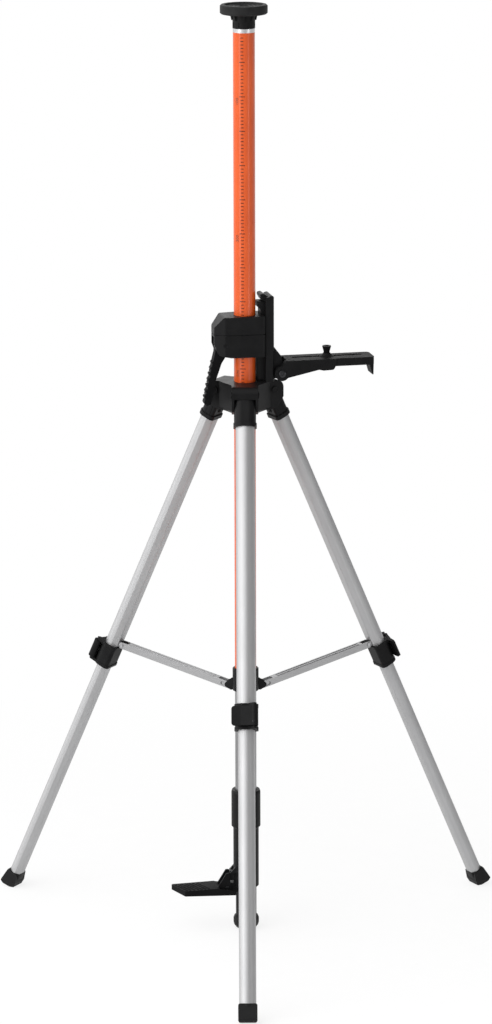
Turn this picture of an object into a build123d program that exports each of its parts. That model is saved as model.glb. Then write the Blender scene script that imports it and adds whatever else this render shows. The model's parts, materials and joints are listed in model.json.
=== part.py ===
"""Laser level tripod, built as separate named pieces in one frame (millimetres).

Frame: origin on the floor under the pole, +Z up the pole, the front leg along -Y.
The carriage with its arm is turned ARM_TURN about the pole, as in the photograph.
Sizes are named once; heights follow from what stands on what.
"""
import math
import os

from build123d import *

os.makedirs("parts", exist_ok=True)

# Clearances
RUN = 0.1
GAP = 0.35

# Pole foot, column and sleeve
FOOT_WALL = 3.3
FOOT_H = 21.6
FOOT_SEAT = 14.0
COLUMN_INSET = 0.4
COLUMN_STEP = 2.0
COLUMN_H = 45.7
COLUMN_SPIGOT = 30.0
SLEEVE_LOW_WALL = 3.2
SLEEVE_WALL = 5.9
SLEEVE_LOW_H = 94.7
SLEEVE_HIGH_H = 56.0

# Pole and mast
POLE_R = 15.9
POLE_WALL = 1.5
TUBE_LIFT = 6.0
LOWER_TUBE_H = 316.7
SPIGOT_H = 45.0
UPPER_TUBE_H = 965.6
FERRULE_H = 5.7
FERRULE_PLUG = 20.0
MAST_GAP = 1.4
MAST_WALL = 1.2
MAST_REST = 15.0
PLUG_HEAD = 8.0
PLUG_GRIP = 22.0

# Cap and ceiling pad
CAP_GAP = 0.2
NECK_LIP = 0.5
NECK_H = 11.5
GUSSET_H = 8.6
GUSSET_OUT = 3.8
GUSSET_T = 2.4
FLANGE_H = 4.4
PAD_R = 34.5
PAD_WALL = 3.6
PAD_H = 9.3
PAD_RIM = 6.4

# Pedal, at its own azimuth
PEDAL_AZ = 184.0
PEDAL_OUT = 9.9
PEDAL_PIN_R = 2.5
PEDAL_LUG_HALF = 7.0
PEDAL_CHEEK_T = 4.0
TREAD_RISE = 1.8
TREAD_FALL = 4.0
TREAD_T = 11.0
TREAD_L = 84.4
TREAD_HALF = 20.0
TREAD_SKEW = 20.5
TREAD_SKIN = 3.0
CHEEK_RISE = 22.6

# Legs: distances run down the leg from its pivot
LEG_AZ = {"front": -90.0, "right": 30.0, "left": 150.0}
LEG_TILT = 24.72
PIVOT_OUT = 23.75
LEG_PIN_R = 3.0
KNUCKLE_R = 10.0
TUBE_START = 24.0
UPPER_L = 456.0
SHIN_IN = 88.0
SHIN_OUT = 420.0
UPPER_W = 28.0
UPPER_D = 21.0
UPPER_WALL = 1.4
UPPER_ROUND = 9.0
UPPER_EDGE = 3.0
LEG_PLAY = 0.4
LOWER_WALL = 1.3
GUIDE_HEAD = 10.0
GUIDE_GRIP = 22.0
SOCKET_WALL = 1.3
SOCKET_TOP = 6.0
SOCKET_GRIP = 17.5
SOCKET_LIP = 1.8
LIP_L = 6.0
SHOE_LIFT = 11.5
SHOE_WALL = 1.5
SHOE_GRIP = 15.5

# Leg locks
COLLAR_UP = 25.0
COLLAR_DOWN = 12.5
COLLAR_WALL = 2.6
COLLAR_RIM = 0.8
LEVER_SET = 4.6
LEVER_L = 28.5
LEVER_T = 4.0
LEVER_TAB = 7.8
LOCK_OUT = 6.5
LOCK_ASIDE = 5.3
LOCK_BARREL = 5.6
LOCK_LUG = 3.4
LOCK_PIN_R = 1.5

# Hub
HUB_WALL = 17.1
HUB_DROP = 29.0
HUB_RISE = 13.8
YOKE_REACH = 15.0
YOKE_CHEEK = 3.75
FOLD_DEG = 7.0

# Braces and their hub
EAR_RISE = 5.5
EAR_OUT = 5.5
EAR_R = 5.3
EAR_HALF = 4.5
RIVET_R = 2.0
BRACE_HALF_H = 4.9
BRACE_HALF_W = 6.2
BRACE_WALL = 1.4
BRACE_DROP = 36.3
RING_WALL = 3.4
RING_EAR = 8.2
RING_DOWN = 4.4
RING_UP = 29.6
RING_PIN_R = 1.75
SLOT_TRAVEL = 9.1
SLOT_R = 3.05

# Carriage, in a frame turned about the pole
ARM_TURN = 12.0
CARRIAGE_RISE = 39.2
BODY_H = 60.0
SEAM_H = 33.0
SEAM_GROOVE = 1.0
BODY_HALF = 24.0
NOSE = 31.9
BACK_WALL = 11.1
LEVER_IN = 17.1
LEVER_DOWN = 15.0
LEVER_HALF = 7.0
HEAD_R = 8.4
LEVER_PIN_R = 2.5
POCKET_ROOF = 3.0
POCKET_BACK = 8.6
SHOE_HALF = 7.0
RAIL_NECK = 4.5
RAIL_HEAD = 5.0
RAIL_NECK_HALF = 10.0
RAIL_HEAD_HALF = 14.0
RAIL_UP = 20.0
RAIL_WEB_GAP = 1.6

# Arm carrier, arm and platform
HUB_CLEAR = 0.5
RAIL_LIFT = 2.7
CARRIER_WALL = 3.7
CARRIER_SIDE = 4.2
CARRIER_ROOF = 9.5
HOOK_HALF = 12.0
EAR_A_HALF = 12.0
ARM_PIN_R = 3.0
ARM_KNUCKLE = 10.6
ARM_UP = 11.7
ARM_DEPTH = 19.0
ARM_HALF = 22.3
ARM_L = 81.0
ARM_HEEL = 6.4
PLATE_HALF = 20.0
PLATE_T = 11.4
PLATE_START = 13.1
PLATE_L = 126.6
LIP_DROP = 16.1
LIP_T = 6.8
SLOT_L = 99.0
SLOT_Y = 3.5
SLOT_HALF = 3.5
TEE_HALF = 8.0
SLOT_ROOF = 7.4

# Saddle and knob
KNOB_OUT = 72.5
SADDLE_R = 10.7
SADDLE_H = 5.0
STUD_R = 3.0
STUD_H = 4.0
KNOB_FOOT_R = 4.4
KNOB_R = 6.6
KNOB_H = 10.4
THREAD_R = 2.55
THREAD_L = 5.4

# Heights up the pole
COLUMN_R = POLE_R - COLUMN_INSET
POLE_BORE = POLE_R - POLE_WALL
LOWER_BORE = POLE_BORE - POLE_WALL
MAST_R = POLE_BORE - MAST_GAP
MAST_BORE = MAST_R - MAST_WALL
SLEEVE_FOOT = FOOT_H + COLUMN_H
SLEEVE_STEP = SLEEVE_FOOT + SLEEVE_LOW_H
SLEEVE_TOP = SLEEVE_STEP + SLEEVE_HIGH_H
TUBE_FOOT = SLEEVE_FOOT + TUBE_LIFT
POLE_JOINT = TUBE_FOOT + LOWER_TUBE_H
POLE_TOP = POLE_JOINT + UPPER_TUBE_H
FERRULE_TOP = POLE_TOP + FERRULE_H
MAST_FOOT = POLE_JOINT + SPIGOT_H + MAST_REST
CAP_FOOT = FERRULE_TOP + CAP_GAP
FLANGE_Z = CAP_FOOT + NECK_H + GUSSET_H
PAD_FOOT = FLANGE_Z + FLANGE_H
PAD_TOP = PAD_FOOT + PAD_H

# Places on a leg
UPPER_END = TUBE_START + UPPER_L
LOWER_START = UPPER_END - SHIN_IN
LOWER_END = UPPER_END + SHIN_OUT
LOWER_W = UPPER_W - 2 * (UPPER_WALL + LEG_PLAY)
LOWER_D = UPPER_D - 2 * (UPPER_WALL + LEG_PLAY)
PIVOT_RHO = POLE_R + PIVOT_OUT
PIVOT_Z = LOWER_END * math.cos(math.radians(LEG_TILT)) + SHOE_LIFT
SOCKET_HALF = UPPER_W / 2 + SOCKET_WALL
POCKET_HALF = SOCKET_HALF + GAP
YOKE_HALF = POCKET_HALF + YOKE_CHEEK
COLLAR_TOP = UPPER_END - COLLAR_UP
COLLAR_END = UPPER_END + COLLAR_DOWN
LEVER_TOP = COLLAR_TOP + LEVER_SET
LEVER_END = LEVER_TOP + LEVER_L
COLLAR_HALF = UPPER_W / 2 + COLLAR_WALL
COLLAR_OUT = UPPER_D / 2 + COLLAR_WALL
LOCK_X = COLLAR_OUT + LOCK_OUT
LOCK_Y = COLLAR_HALF - LOCK_ASIDE
BRACE_S = COLLAR_TOP - EAR_RISE
BRACE_OUT = -(UPPER_D / 2 + EAR_OUT)
HUB_Z0 = PIVOT_Z - HUB_DROP
HUB_Z1 = PIVOT_Z + HUB_RISE
HUB_FLAT = POLE_R + HUB_WALL
YOKE_END = PIVOT_RHO + YOKE_REACH
RING_R = POLE_R + RUN + RING_WALL

# Places on the carriage
BODY_FOOT = HUB_Z1 + CARRIAGE_RISE
BODY_SEAM = BODY_FOOT + SEAM_H
BODY_TOP = BODY_FOOT + BODY_H
BODY_END = POLE_R + BACK_WALL
LEVER_X = -(POLE_R + LEVER_IN)
LEVER_Z = BODY_SEAM - LEVER_DOWN
POCKET_TOP = BODY_SEAM - POCKET_ROOF
CARRIER_FOOT = HUB_Z1 + HUB_CLEAR
RAIL_FOOT = CARRIER_FOOT + RAIL_LIFT
RAIL_TOP = BODY_TOP + RAIL_UP
RAIL_MID = BODY_END + RAIL_NECK
RAIL_END = RAIL_MID + RAIL_HEAD
CARRIER_END = RAIL_END + GAP + CARRIER_WALL
CARRIER_HALF = RAIL_HEAD_HALF + GAP + CARRIER_SIDE
CARRIER_TOP = RAIL_TOP + CARRIER_ROOF
ARM_X = CARRIER_END + ARM_KNUCKLE + GAP
ARM_Z = CARRIER_FOOT + ARM_UP
ARM_TOP = ARM_Z + ARM_DEPTH
PLATE_X = ARM_X + PLATE_START
PLATE_END = PLATE_X + PLATE_L
PLATE_Z = ARM_TOP - PLATE_T
KNOB_X = ARM_X + KNOB_OUT
KNOB_FOOT = ARM_TOP + SADDLE_H
KNOB_TOP = KNOB_FOOT + KNOB_H

# Places on the pedal
SLEEVE_LOW_R = POLE_R + SLEEVE_LOW_WALL
SLEEVE_R = POLE_R + SLEEVE_WALL
PEDAL_U = SLEEVE_LOW_R + PEDAL_OUT
PEDAL_Z = SLEEVE_FOOT - GAP
PEDAL_TOP = PEDAL_Z + TREAD_RISE
TREAD_END = PEDAL_U + TREAD_L


def save(name, shape):
    """Write one node's STEP file."""
    shape.label = name
    export_step(shape, f"parts/{name}.step")


def rod(radius, z0, z1, x=0.0, y=0.0):
    """Cylinder along Z."""
    return Pos(x, y, (z0 + z1) / 2) * Cylinder(radius, z1 - z0)


def pin(radius, y0, y1, x, z):
    """Cylinder along Y through a point of the XZ plane."""
    return Pos(x, (y0 + y1) / 2, z) * Rot(90, 0, 0) * Cylinder(radius, y1 - y0)


def block(x0, x1, y0, y1, z0, z1):
    """Box between two corners."""
    return Pos((x0 + x1) / 2, (y0 + y1) / 2, (z0 + z1) / 2) * Box(x1 - x0, y1 - y0, z1 - z0)


def rounded(points, radii):
    """Polygon face with some corners rounded; radii maps a corner's index to its radius."""
    face = Polygon(*points, align=None)
    for index, radius in radii.items():
        x, y = points[index]
        corner = [v for v in face.vertices() if math.hypot(v.X - x, v.Y - y) < 0.01]
        face = fillet(corner, radius)
    return face


def slab(points, y0, y1, radii=None):
    """Outline in the XZ plane, thickened from y0 to y1."""
    face = rounded(points, radii or {})
    solid = extrude(Plane.XZ * face, amount=y1 - y0, dir=(0, -1, 0))
    return Pos(0, y1, 0) * solid


def twin(points, y0, y1, radii=None):
    """Outline in the XZ plane, thickened on both sides of the middle plane."""
    return slab(points, y0, y1, radii) + slab(points, -y1, -y0, radii)


def wall(points, x0, x1, radii=None):
    """Outline in the YZ plane, thickened from x0 to x1."""
    face = rounded(points, radii or {})
    return Pos(x0, 0, 0) * extrude(Plane.YZ * face, amount=x1 - x0, dir=(1, 0, 0))


def sheet(points, z0, z1, radii=None):
    """Outline in the XY plane, thickened from z0 to z1."""
    face = rounded(points, radii or {})
    return Pos(0, 0, z0) * extrude(face, amount=z1 - z0, dir=(0, 0, 1))


def shifted(points, x, z):
    """Outline moved by an offset."""
    return [(px + x, pz + z) for px, pz in points]


def lathe(points):
    """Profile of (radius, z) turned about Z."""
    return revolve(Plane.XZ * Polygon(*points, align=None), Axis.Z)


def section(width, depth, outer_r, inner_r):
    """Leg section: flat inside, rounded outside; x is outward, y is across."""
    half_d = depth / 2
    half_w = width / 2
    points = [(-half_d, -half_w), (half_d, -half_w), (half_d, half_w), (-half_d, half_w)]
    return rounded(points, {0: inner_r, 1: outer_r, 2: outer_r, 3: inner_r})


def upper_section(grow=0.0):
    """Outside of the upper leg tube, grown by a margin."""
    return section(UPPER_W + 2 * grow, UPPER_D + 2 * grow, UPPER_ROUND + grow, UPPER_EDGE + grow)


def lower_section(grow=0.0):
    """Outside of the lower leg tube, grown by a margin."""
    return section(LOWER_W + 2 * grow, LOWER_D + 2 * grow, 0.8 * UPPER_ROUND + grow,
                   0.5 * UPPER_EDGE + grow)


def along(face, s0, s1):
    """Extrude a leg section between two distances below the leg's pivot."""
    return Pos(0, 0, -s1) * extrude(face, amount=s1 - s0, dir=(0, 0, 1))


def leg_frame(azimuth, fold=0.0):
    """Place of a leg: origin on its pivot, -Z down the leg, +X outward."""
    return Rot(0, 0, azimuth) * Pos(PIVOT_RHO, 0, PIVOT_Z) * Rot(0, fold - LEG_TILT, 0)


def brace_point():
    """Brace pivot on the leg as (rho, z)."""
    tilt = math.radians(LEG_TILT)
    rho = PIVOT_RHO + BRACE_S * math.sin(tilt) + BRACE_OUT * math.cos(tilt)
    z = PIVOT_Z - BRACE_S * math.cos(tilt) + BRACE_OUT * math.sin(tilt)
    return rho, z


def ring_point():
    """Brace pivot on the brace hub as (rho, z)."""
    return RING_R + RING_EAR, brace_point()[1] - BRACE_DROP


# Pole and mast

def pole_tube():
    """Orange outer tube."""
    return rod(POLE_R, POLE_JOINT, POLE_TOP) - rod(POLE_BORE, POLE_JOINT - 1, POLE_TOP + 1)


def lower_tube():
    """Bare lower tube with a swaged spigot that plugs into the orange one."""
    body = rod(POLE_R, TUBE_FOOT, POLE_JOINT) + rod(POLE_BORE, POLE_JOINT - 1, POLE_JOINT + SPIGOT_H)
    return body - rod(LOWER_BORE, TUBE_FOOT - 1, POLE_JOINT + SPIGOT_H + 1)


def pole_ferrule():
    """Bare ring on the pole's mouth, guiding the mast."""
    body = rod(POLE_R, POLE_TOP, FERRULE_TOP) + rod(POLE_BORE, POLE_TOP - FERRULE_PLUG, POLE_TOP + 1)
    return body - rod(MAST_R + RUN, POLE_TOP - FERRULE_PLUG - 1, FERRULE_TOP + 1)


def mast_tube():
    """Inner mast that telescopes out of the pole, up into the cap's neck."""
    return rod(MAST_R, MAST_FOOT, FLANGE_Z) - rod(MAST_BORE, MAST_FOOT - 1, FLANGE_Z + 1)


def mast_plug():
    """Plastic guide on the mast's lower end."""
    head = rod(POLE_BORE - RUN, MAST_FOOT - PLUG_HEAD, MAST_FOOT)
    return head + rod(MAST_BORE, MAST_FOOT - 1, MAST_FOOT + PLUG_GRIP)


def cap_hub():
    """Neck and gusseted flange under the ceiling pad."""
    neck = POLE_R + NECK_LIP
    rim = PAD_R - PAD_WALL
    low = CAP_FOOT + NECK_H
    body = rod(neck, CAP_FOOT, FLANGE_Z + FLANGE_H / 2) + rod(rim, FLANGE_Z, PAD_FOOT)
    body -= rod(MAST_R, CAP_FOOT - 1, FLANGE_Z)
    fin = [(neck - NECK_LIP, low), (neck + 0.45 * GUSSET_OUT, low),
           (neck + GUSSET_OUT, FLANGE_Z + FLANGE_H / 4),
           (neck - NECK_LIP, FLANGE_Z + FLANGE_H / 4)]
    fins = slab(fin, -GUSSET_T / 2, GUSSET_T / 2)
    slot = block(neck - 2 * NECK_LIP, neck + NECK_LIP, -0.7 * GUSSET_T, 0.7 * GUSSET_T,
                 CAP_FOOT + 0.2 * NECK_H,
                 CAP_FOOT + 0.8 * NECK_H)
    for turn in range(0, 360, 45):
        body += Rot(0, 0, turn) * fins
        body -= Rot(0, 0, turn + 22.5) * slot
    return body


def ceiling_pad():
    """Dished rubber pad that presses on a ceiling."""
    rim = PAD_R - PAD_WALL
    skirt = PAD_FOOT - 0.9 * FLANGE_H
    edge = 0.45 * PAD_WALL
    inner = PAD_R - PAD_RIM
    profile = [(0, PAD_FOOT), (rim, PAD_FOOT), (rim, skirt), (PAD_R - edge, skirt), (PAD_R, skirt + edge),
               (PAD_R, PAD_TOP - edge), (PAD_R - edge, PAD_TOP), (inner, PAD_TOP),
               (inner - edge, PAD_TOP - 0.25 * PAD_H),
               (0, PAD_TOP - 0.28 * PAD_H)]
    return lathe(profile)


def sleeve_lug():
    """Lug that carries the pedal's pin, and the ribs above the pedal's cheeks."""
    lug = shifted([(-12.0, -6.0), (1.0, -6.0), (6.0, -1.0), (6.0, 3.0), (2.0, 6.0), (-12.0, 6.0)],
                  PEDAL_U, PEDAL_Z)
    body = slab(lug, -PEDAL_LUG_HALF, PEDAL_LUG_HALF, {2: 3.0, 3: 2.0})
    low = PEDAL_Z + CHEEK_RISE + GAP
    root = POLE_R + SLEEVE_LOW_WALL / 2
    rib = [(0.8 * root, low), (PEDAL_U - 4.2, low), (0.92 * root, low + PEDAL_OUT),
           (0.8 * root, low + PEDAL_OUT)]
    inner = PEDAL_LUG_HALF + GAP
    body += twin(rib, inner, inner + PEDAL_CHEEK_T)
    body -= rod(root, PEDAL_Z - 20, low + 2 * PEDAL_OUT)
    return body - pin(PEDAL_PIN_R, -20, 20, PEDAL_U, PEDAL_Z)


def pedal_sleeve():
    """Moulded sleeve on the lower tube, with the pedal's lug."""
    edge = SLEEVE_LOW_WALL / 3
    profile = [(POLE_R, SLEEVE_FOOT), (SLEEVE_LOW_R - edge, SLEEVE_FOOT),
               (SLEEVE_LOW_R, SLEEVE_FOOT + edge),
               (SLEEVE_LOW_R, SLEEVE_STEP - 3 * edge), (SLEEVE_R, SLEEVE_STEP),
               (SLEEVE_R, SLEEVE_TOP - 3 * edge),
               (SLEEVE_R - edge, SLEEVE_TOP), (POLE_R, SLEEVE_TOP)]
    return lathe(profile) + Rot(0, 0, PEDAL_AZ) * sleeve_lug()


def pedal_pin():
    """Hinge pin of the pedal."""
    half = PEDAL_LUG_HALF + GAP + PEDAL_CHEEK_T + GAP
    return Rot(0, 0, PEDAL_AZ) * pin(PEDAL_PIN_R, -half, half, PEDAL_U, PEDAL_Z)


def pedal():
    """Sloping tread on two gusset cheeks, with side walls that straddle the sleeve."""
    low = PEDAL_TOP - TREAD_T
    root = PEDAL_U + 18.0
    tip = TREAD_END - TREAD_SKEW
    plan = [(root, -TREAD_HALF), (TREAD_END, -TREAD_HALF), (tip, TREAD_HALF), (root, TREAD_HALF)]
    plate = sheet(plan, low, PEDAL_TOP, {1: 3.0, 2: 3.0})
    side = [(root - 2, PEDAL_TOP), (root - 2, low), (TREAD_END + 2, low),
            (TREAD_END + 2, PEDAL_TOP - TREAD_FALL)]
    plate = plate & slab(side, -2 * TREAD_HALF, 2 * TREAD_HALF)
    inner = TREAD_HALF - 1.2 * TREAD_SKIN
    hollow = [(root - 5, -inner), (TREAD_END - 6, -inner), (tip - 3, inner), (root - 5, inner)]
    plate -= sheet(hollow, low - 5, PEDAL_TOP - TREAD_FALL - TREAD_SKIN)
    down = TREAD_RISE - TREAD_T
    arm = shifted([(-13.0, down), (20.0, down), (20.0, TREAD_RISE - 0.3), (8.0, 0.0), (-13.0, -2.5)],
                  PEDAL_U, PEDAL_Z)
    body = plate + twin(arm, inner, TREAD_HALF, {0: 1.5, 4: 1.5})
    cheek = shifted([(-5.5, -3.0), (2.0, down), (19.0, down), (37.0, TREAD_RISE - 2.0), (14.0, TREAD_RISE),
                     (1.4, CHEEK_RISE), (-3.8, CHEEK_RISE), (-4.4, 11.0)], PEDAL_U, PEDAL_Z)
    cheek_y = PEDAL_LUG_HALF + GAP
    body += twin(cheek, cheek_y, cheek_y + PEDAL_CHEEK_T, {0: 2.0, 5: 1.5, 6: 1.0})
    bridge = shifted([(12.0, down), (20.0, down), (20.0, TREAD_RISE - 0.3), (12.0, TREAD_RISE - 0.3)],
                     PEDAL_U, PEDAL_Z)
    body += slab(bridge, -inner - 1, inner + 1)
    body -= pin(PEDAL_PIN_R + RUN / 2, -14, 14, PEDAL_U, PEDAL_Z)
    return Rot(0, 0, PEDAL_AZ) * body


def foot_column():
    """Black column between the sleeve and the pole's foot."""
    seat = COLUMN_R - COLUMN_STEP
    top = TUBE_FOOT + COLUMN_SPIGOT
    profile = [(0, FOOT_H - FOOT_SEAT), (seat, FOOT_H - FOOT_SEAT), (seat, FOOT_H), (COLUMN_R, FOOT_H),
               (COLUMN_R, SLEEVE_FOOT), (POLE_R, SLEEVE_FOOT), (POLE_R, TUBE_FOOT), (LOWER_BORE, TUBE_FOOT),
               (LOWER_BORE, top), (0, top)]
    return lathe(profile)


def pole_foot():
    """Rounded rubber foot under the pole."""
    radius = POLE_R + FOOT_WALL
    soft = FOOT_WALL
    profile = [(0, 0), (radius - 2.8 * soft, 0), (radius - 1.2 * soft, 0.7 * soft),
               (radius - 0.3 * soft, 1.9 * soft),
               (radius, 3.0 * soft), (radius, FOOT_H - 1.6 * soft),
               (radius - 0.4 * soft, FOOT_H - 0.5 * soft),
               (radius - 1.2 * soft, FOOT_H), (0, FOOT_H)]
    return lathe(profile) - rod(COLUMN_R - COLUMN_STEP, FOOT_H - FOOT_SEAT, FOOT_H + 1)


# Hub and legs

def knuckle_clearance():
    """Space that a leg's socket sweeps inside the hub."""
    margin = GAP + RUN
    space = pin(KNUCKLE_R + margin, -POCKET_HALF, POCKET_HALF, 0, 0)
    depth = UPPER_D + 2 * (SOCKET_WALL + margin)
    prism = block(-depth / 2, depth / 2, -POCKET_HALF, POCKET_HALF, -3 * UPPER_W, margin)
    swept = leg_frame(0.0) * (space + prism)
    for fold in (FOLD_DEG / 2, FOLD_DEG):
        swept += leg_frame(0.0, fold) * prism
    reach = KNUCKLE_R + 2 * SOCKET_WALL
    low = HUB_Z0 - KNUCKLE_R
    floor = [(PIVOT_RHO - reach, low), (PIVOT_RHO - reach, PIVOT_Z - 0.7 * KNUCKLE_R),
             (PIVOT_RHO - 0.85 * KNUCKLE_R, PIVOT_Z), (PIVOT_RHO + 0.45 * KNUCKLE_R, PIVOT_Z),
             (PIVOT_RHO + 2 * KNUCKLE_R, low)]
    return swept + slab(floor, -POCKET_HALF, POCKET_HALF)


def tripod_hub():
    """Moulded hub clamped on the pole, with a hooded yoke for each leg."""
    corners = []
    for azimuth in sorted(LEG_AZ.values()):
        turn = math.radians(azimuth)
        corners.append((2 * HUB_FLAT * math.cos(turn), 2 * HUB_FLAT * math.sin(turn)))
    body = sheet(corners, HUB_Z0, HUB_Z1) & rod(1.25 * HUB_FLAT, HUB_Z0, HUB_Z1)
    body = chamfer(body.edges().group_by(Axis.Z)[0], 0.14 * HUB_DROP)
    outline = [(POLE_R / 2, HUB_Z0), (PIVOT_RHO - 0.3 * YOKE_REACH, HUB_Z0), (PIVOT_RHO + 0.45 * YOKE_REACH,
               HUB_Z0 + 0.2 * HUB_DROP), (YOKE_END, PIVOT_Z - 0.4 * HUB_DROP), (YOKE_END, HUB_Z1),
               (POLE_R / 2, HUB_Z1)]
    yoke = slab(outline, -YOKE_HALF, YOKE_HALF,
                {2: 0.3 * YOKE_REACH, 3: 0.25 * YOKE_REACH, 4: 0.75 * YOKE_REACH})
    space = knuckle_clearance()
    bore = pin(LEG_PIN_R, -2 * YOKE_HALF, 2 * YOKE_HALF, PIVOT_RHO, PIVOT_Z)
    for azimuth in LEG_AZ.values():
        body += Rot(0, 0, azimuth) * yoke
    for azimuth in LEG_AZ.values():
        body -= Rot(0, 0, azimuth) * space
        body -= Rot(0, 0, azimuth) * bore
    return body - rod(POLE_R, HUB_Z0 - 5, HUB_Z1 + 5)


def leg_pivot_pins():
    """The three leg pivots."""
    half = YOKE_HALF + GAP
    one = pin(LEG_PIN_R, -half, half, PIVOT_RHO, PIVOT_Z)
    return Compound([Rot(0, 0, azimuth) * one for azimuth in LEG_AZ.values()])


def leg_socket():
    """Moulded socket that joins a leg tube to the hub."""
    lip = TUBE_START + SOCKET_GRIP
    body = along(upper_section(SOCKET_WALL), SOCKET_TOP, lip + 0.5)
    body += along(upper_section(SOCKET_WALL + SOCKET_LIP), lip, lip + LIP_L)
    body += pin(KNUCKLE_R, -SOCKET_HALF, SOCKET_HALF, 0, 0)
    neck = [(-KNUCKLE_R, 0.0), (-KNUCKLE_R, -SOCKET_TOP - 1), (KNUCKLE_R, -SOCKET_TOP - 1),
            (KNUCKLE_R, 0.0)]
    body += slab(neck, -0.7 * SOCKET_HALF, 0.7 * SOCKET_HALF)
    body -= pin(LEG_PIN_R + RUN / 2, -20, 20, 0, 0)
    return body - along(upper_section(), TUBE_START, lip + 2 * LIP_L)


def upper_leg():
    """Upper leg tube."""
    outer = along(upper_section(), TUBE_START, UPPER_END)
    return outer - along(upper_section(-UPPER_WALL), TUBE_START - 1, UPPER_END + 1)


def lower_leg():
    """Lower leg tube."""
    outer = along(lower_section(), LOWER_START, LOWER_END)
    return outer - along(lower_section(-LOWER_WALL), LOWER_START - 1, LOWER_END + 1)


def leg_guide():
    """Plastic guide plugged into the lower tube's top."""
    head = along(upper_section(-UPPER_WALL - RUN), LOWER_START - GUIDE_HEAD, LOWER_START)
    return head + along(lower_section(-LOWER_WALL), LOWER_START - 1, LOWER_START + GUIDE_GRIP)


def leg_foot():
    """Rubber foot, drawn upright in the leg's plane (rho, z), round the lower tube's end."""
    half = LOWER_W / 2 + SHOE_WALL
    end = PIVOT_RHO + LOWER_END * math.sin(math.radians(LEG_TILT))
    outline = [(-13.6, 22.5), (-10.2, 7.0), (-6.4, 0.0), (1.6, 0.0), (12.6, 5.0), (15.6, 10.6), (1.2, 30.5)]
    outline = shifted(outline, end, SHOE_LIFT - 11.5)
    body = slab(outline, -half, half, {1: 3.0, 2: 2.5, 3: 4.0, 4: 3.0, 5: 1.5})
    side = [(-half, 40.0), (-half, 8.0), (-0.75 * half, -2.0), (0.75 * half, -2.0), (half, 8.0),
            (half, 40.0)]
    body = body & wall(side, 0.0, 2 * end, {1: 2.0, 4: 2.0})
    tilt = Pos(PIVOT_RHO, 0, PIVOT_Z) * Rot(0, -LEG_TILT, 0)
    top = SHOE_GRIP - LOWER_END
    cover = [(-half, -LOWER_END - 40.0), (-half, top), (half, top), (half, -LOWER_END - 40.0)]
    body = body & (tilt * wall(cover, -40.0, 40.0, {1: 3.0, 2: 3.0}))
    return body - tilt * along(lower_section(), LOWER_END - 100.0, LOWER_END)


def lock_collar():
    """Collar on the upper tube's end, with the brace's ear and the lever's lugs."""
    body = along(upper_section(COLLAR_WALL), COLLAR_TOP, COLLAR_END)
    rim = upper_section(COLLAR_WALL + COLLAR_RIM)
    lug = [(0.5 * COLLAR_OUT, LOCK_Y + LOCK_LUG), (LOCK_X, LOCK_Y + LOCK_LUG), (LOCK_X + LOCK_LUG, LOCK_Y),
           (LOCK_X, LOCK_Y - LOCK_LUG), (0.5 * COLLAR_OUT, -LOCK_LUG)]
    for s0, s1 in ((COLLAR_TOP, LEVER_TOP - GAP), (LEVER_END + GAP, COLLAR_END)):
        body += along(rim, s0, s1)
        body += sheet(lug, -s1, -s0, {1: 2.0, 2: 2.0})
    ear = shifted([(-3.8, -3.8), (5.6, -8.0), (5.6, 0.0), (0.0, 4.4)], BRACE_OUT, -BRACE_S)
    body += slab(ear, -EAR_HALF, EAR_HALF)
    body += pin(EAR_R, -EAR_HALF, EAR_HALF, BRACE_OUT, -BRACE_S)
    body -= pin(RIVET_R + RUN / 2, -10, 10, BRACE_OUT, -BRACE_S)
    body -= rod(LOCK_PIN_R, -COLLAR_END - 5, 5 - COLLAR_TOP, LOCK_X, LOCK_Y)
    body -= along(upper_section(), COLLAR_TOP - 40.0, UPPER_END)
    return body - along(lower_section(GAP), UPPER_END - 1, COLLAR_END + 5)


def lock_pin():
    """Hinge pin of a leg lock."""
    return rod(LOCK_PIN_R, GAP - COLLAR_END, -COLLAR_TOP - GAP, LOCK_X, LOCK_Y)


def lock_lever():
    """Flip lever of a leg lock: a cam barrel on the hinge that tapers to a thumb tab."""
    face = COLLAR_OUT + COLLAR_RIM + GAP
    tip = -UPPER_W / 2 - LEVER_TAB
    outline = [(face, LOCK_Y), (face, 0.7 * tip), (face + 0.3 * LEVER_T, tip), (face + LEVER_T, tip),
               (face + 1.3 * LEVER_T, 0.4 * tip),
               (LOCK_X + 0.8 * LOCK_BARREL, LOCK_Y - 0.6 * LOCK_BARREL), (LOCK_X, LOCK_Y)]
    body = sheet(outline, -LEVER_END, -LEVER_TOP, {2: 0.6, 3: 1.0, 4: 6.0})
    tab = [(tip, -LEVER_END), (tip, -LEVER_TOP), (2 * LOCK_Y, -LEVER_TOP), (2 * LOCK_Y, -LEVER_END)]
    body = body & wall(tab, 0.0, 2 * LOCK_X, {0: 0.16 * LEVER_L, 1: 0.16 * LEVER_L})
    body += rod(LOCK_BARREL, -LEVER_END, -LEVER_TOP, LOCK_X, LOCK_Y)
    return body - rod(LOCK_PIN_R + RUN / 2, -LEVER_END - 1, 1 - LEVER_TOP, LOCK_X, LOCK_Y)


# Braces

def brace_frame(azimuth):
    """Place of a brace: origin on its outer pivot, -X towards the pole."""
    rho, z = brace_point()
    inner_rho, inner_z = ring_point()
    drop = math.degrees(math.atan2(z - inner_z, rho - inner_rho))
    return Rot(0, 0, azimuth) * Pos(rho, 0, z) * Rot(0, -drop, 0)


def brace_length():
    """Distance between a brace's pivots."""
    rho, z = brace_point()
    inner_rho, inner_z = ring_point()
    return math.hypot(rho - inner_rho, z - inner_z)


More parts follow.
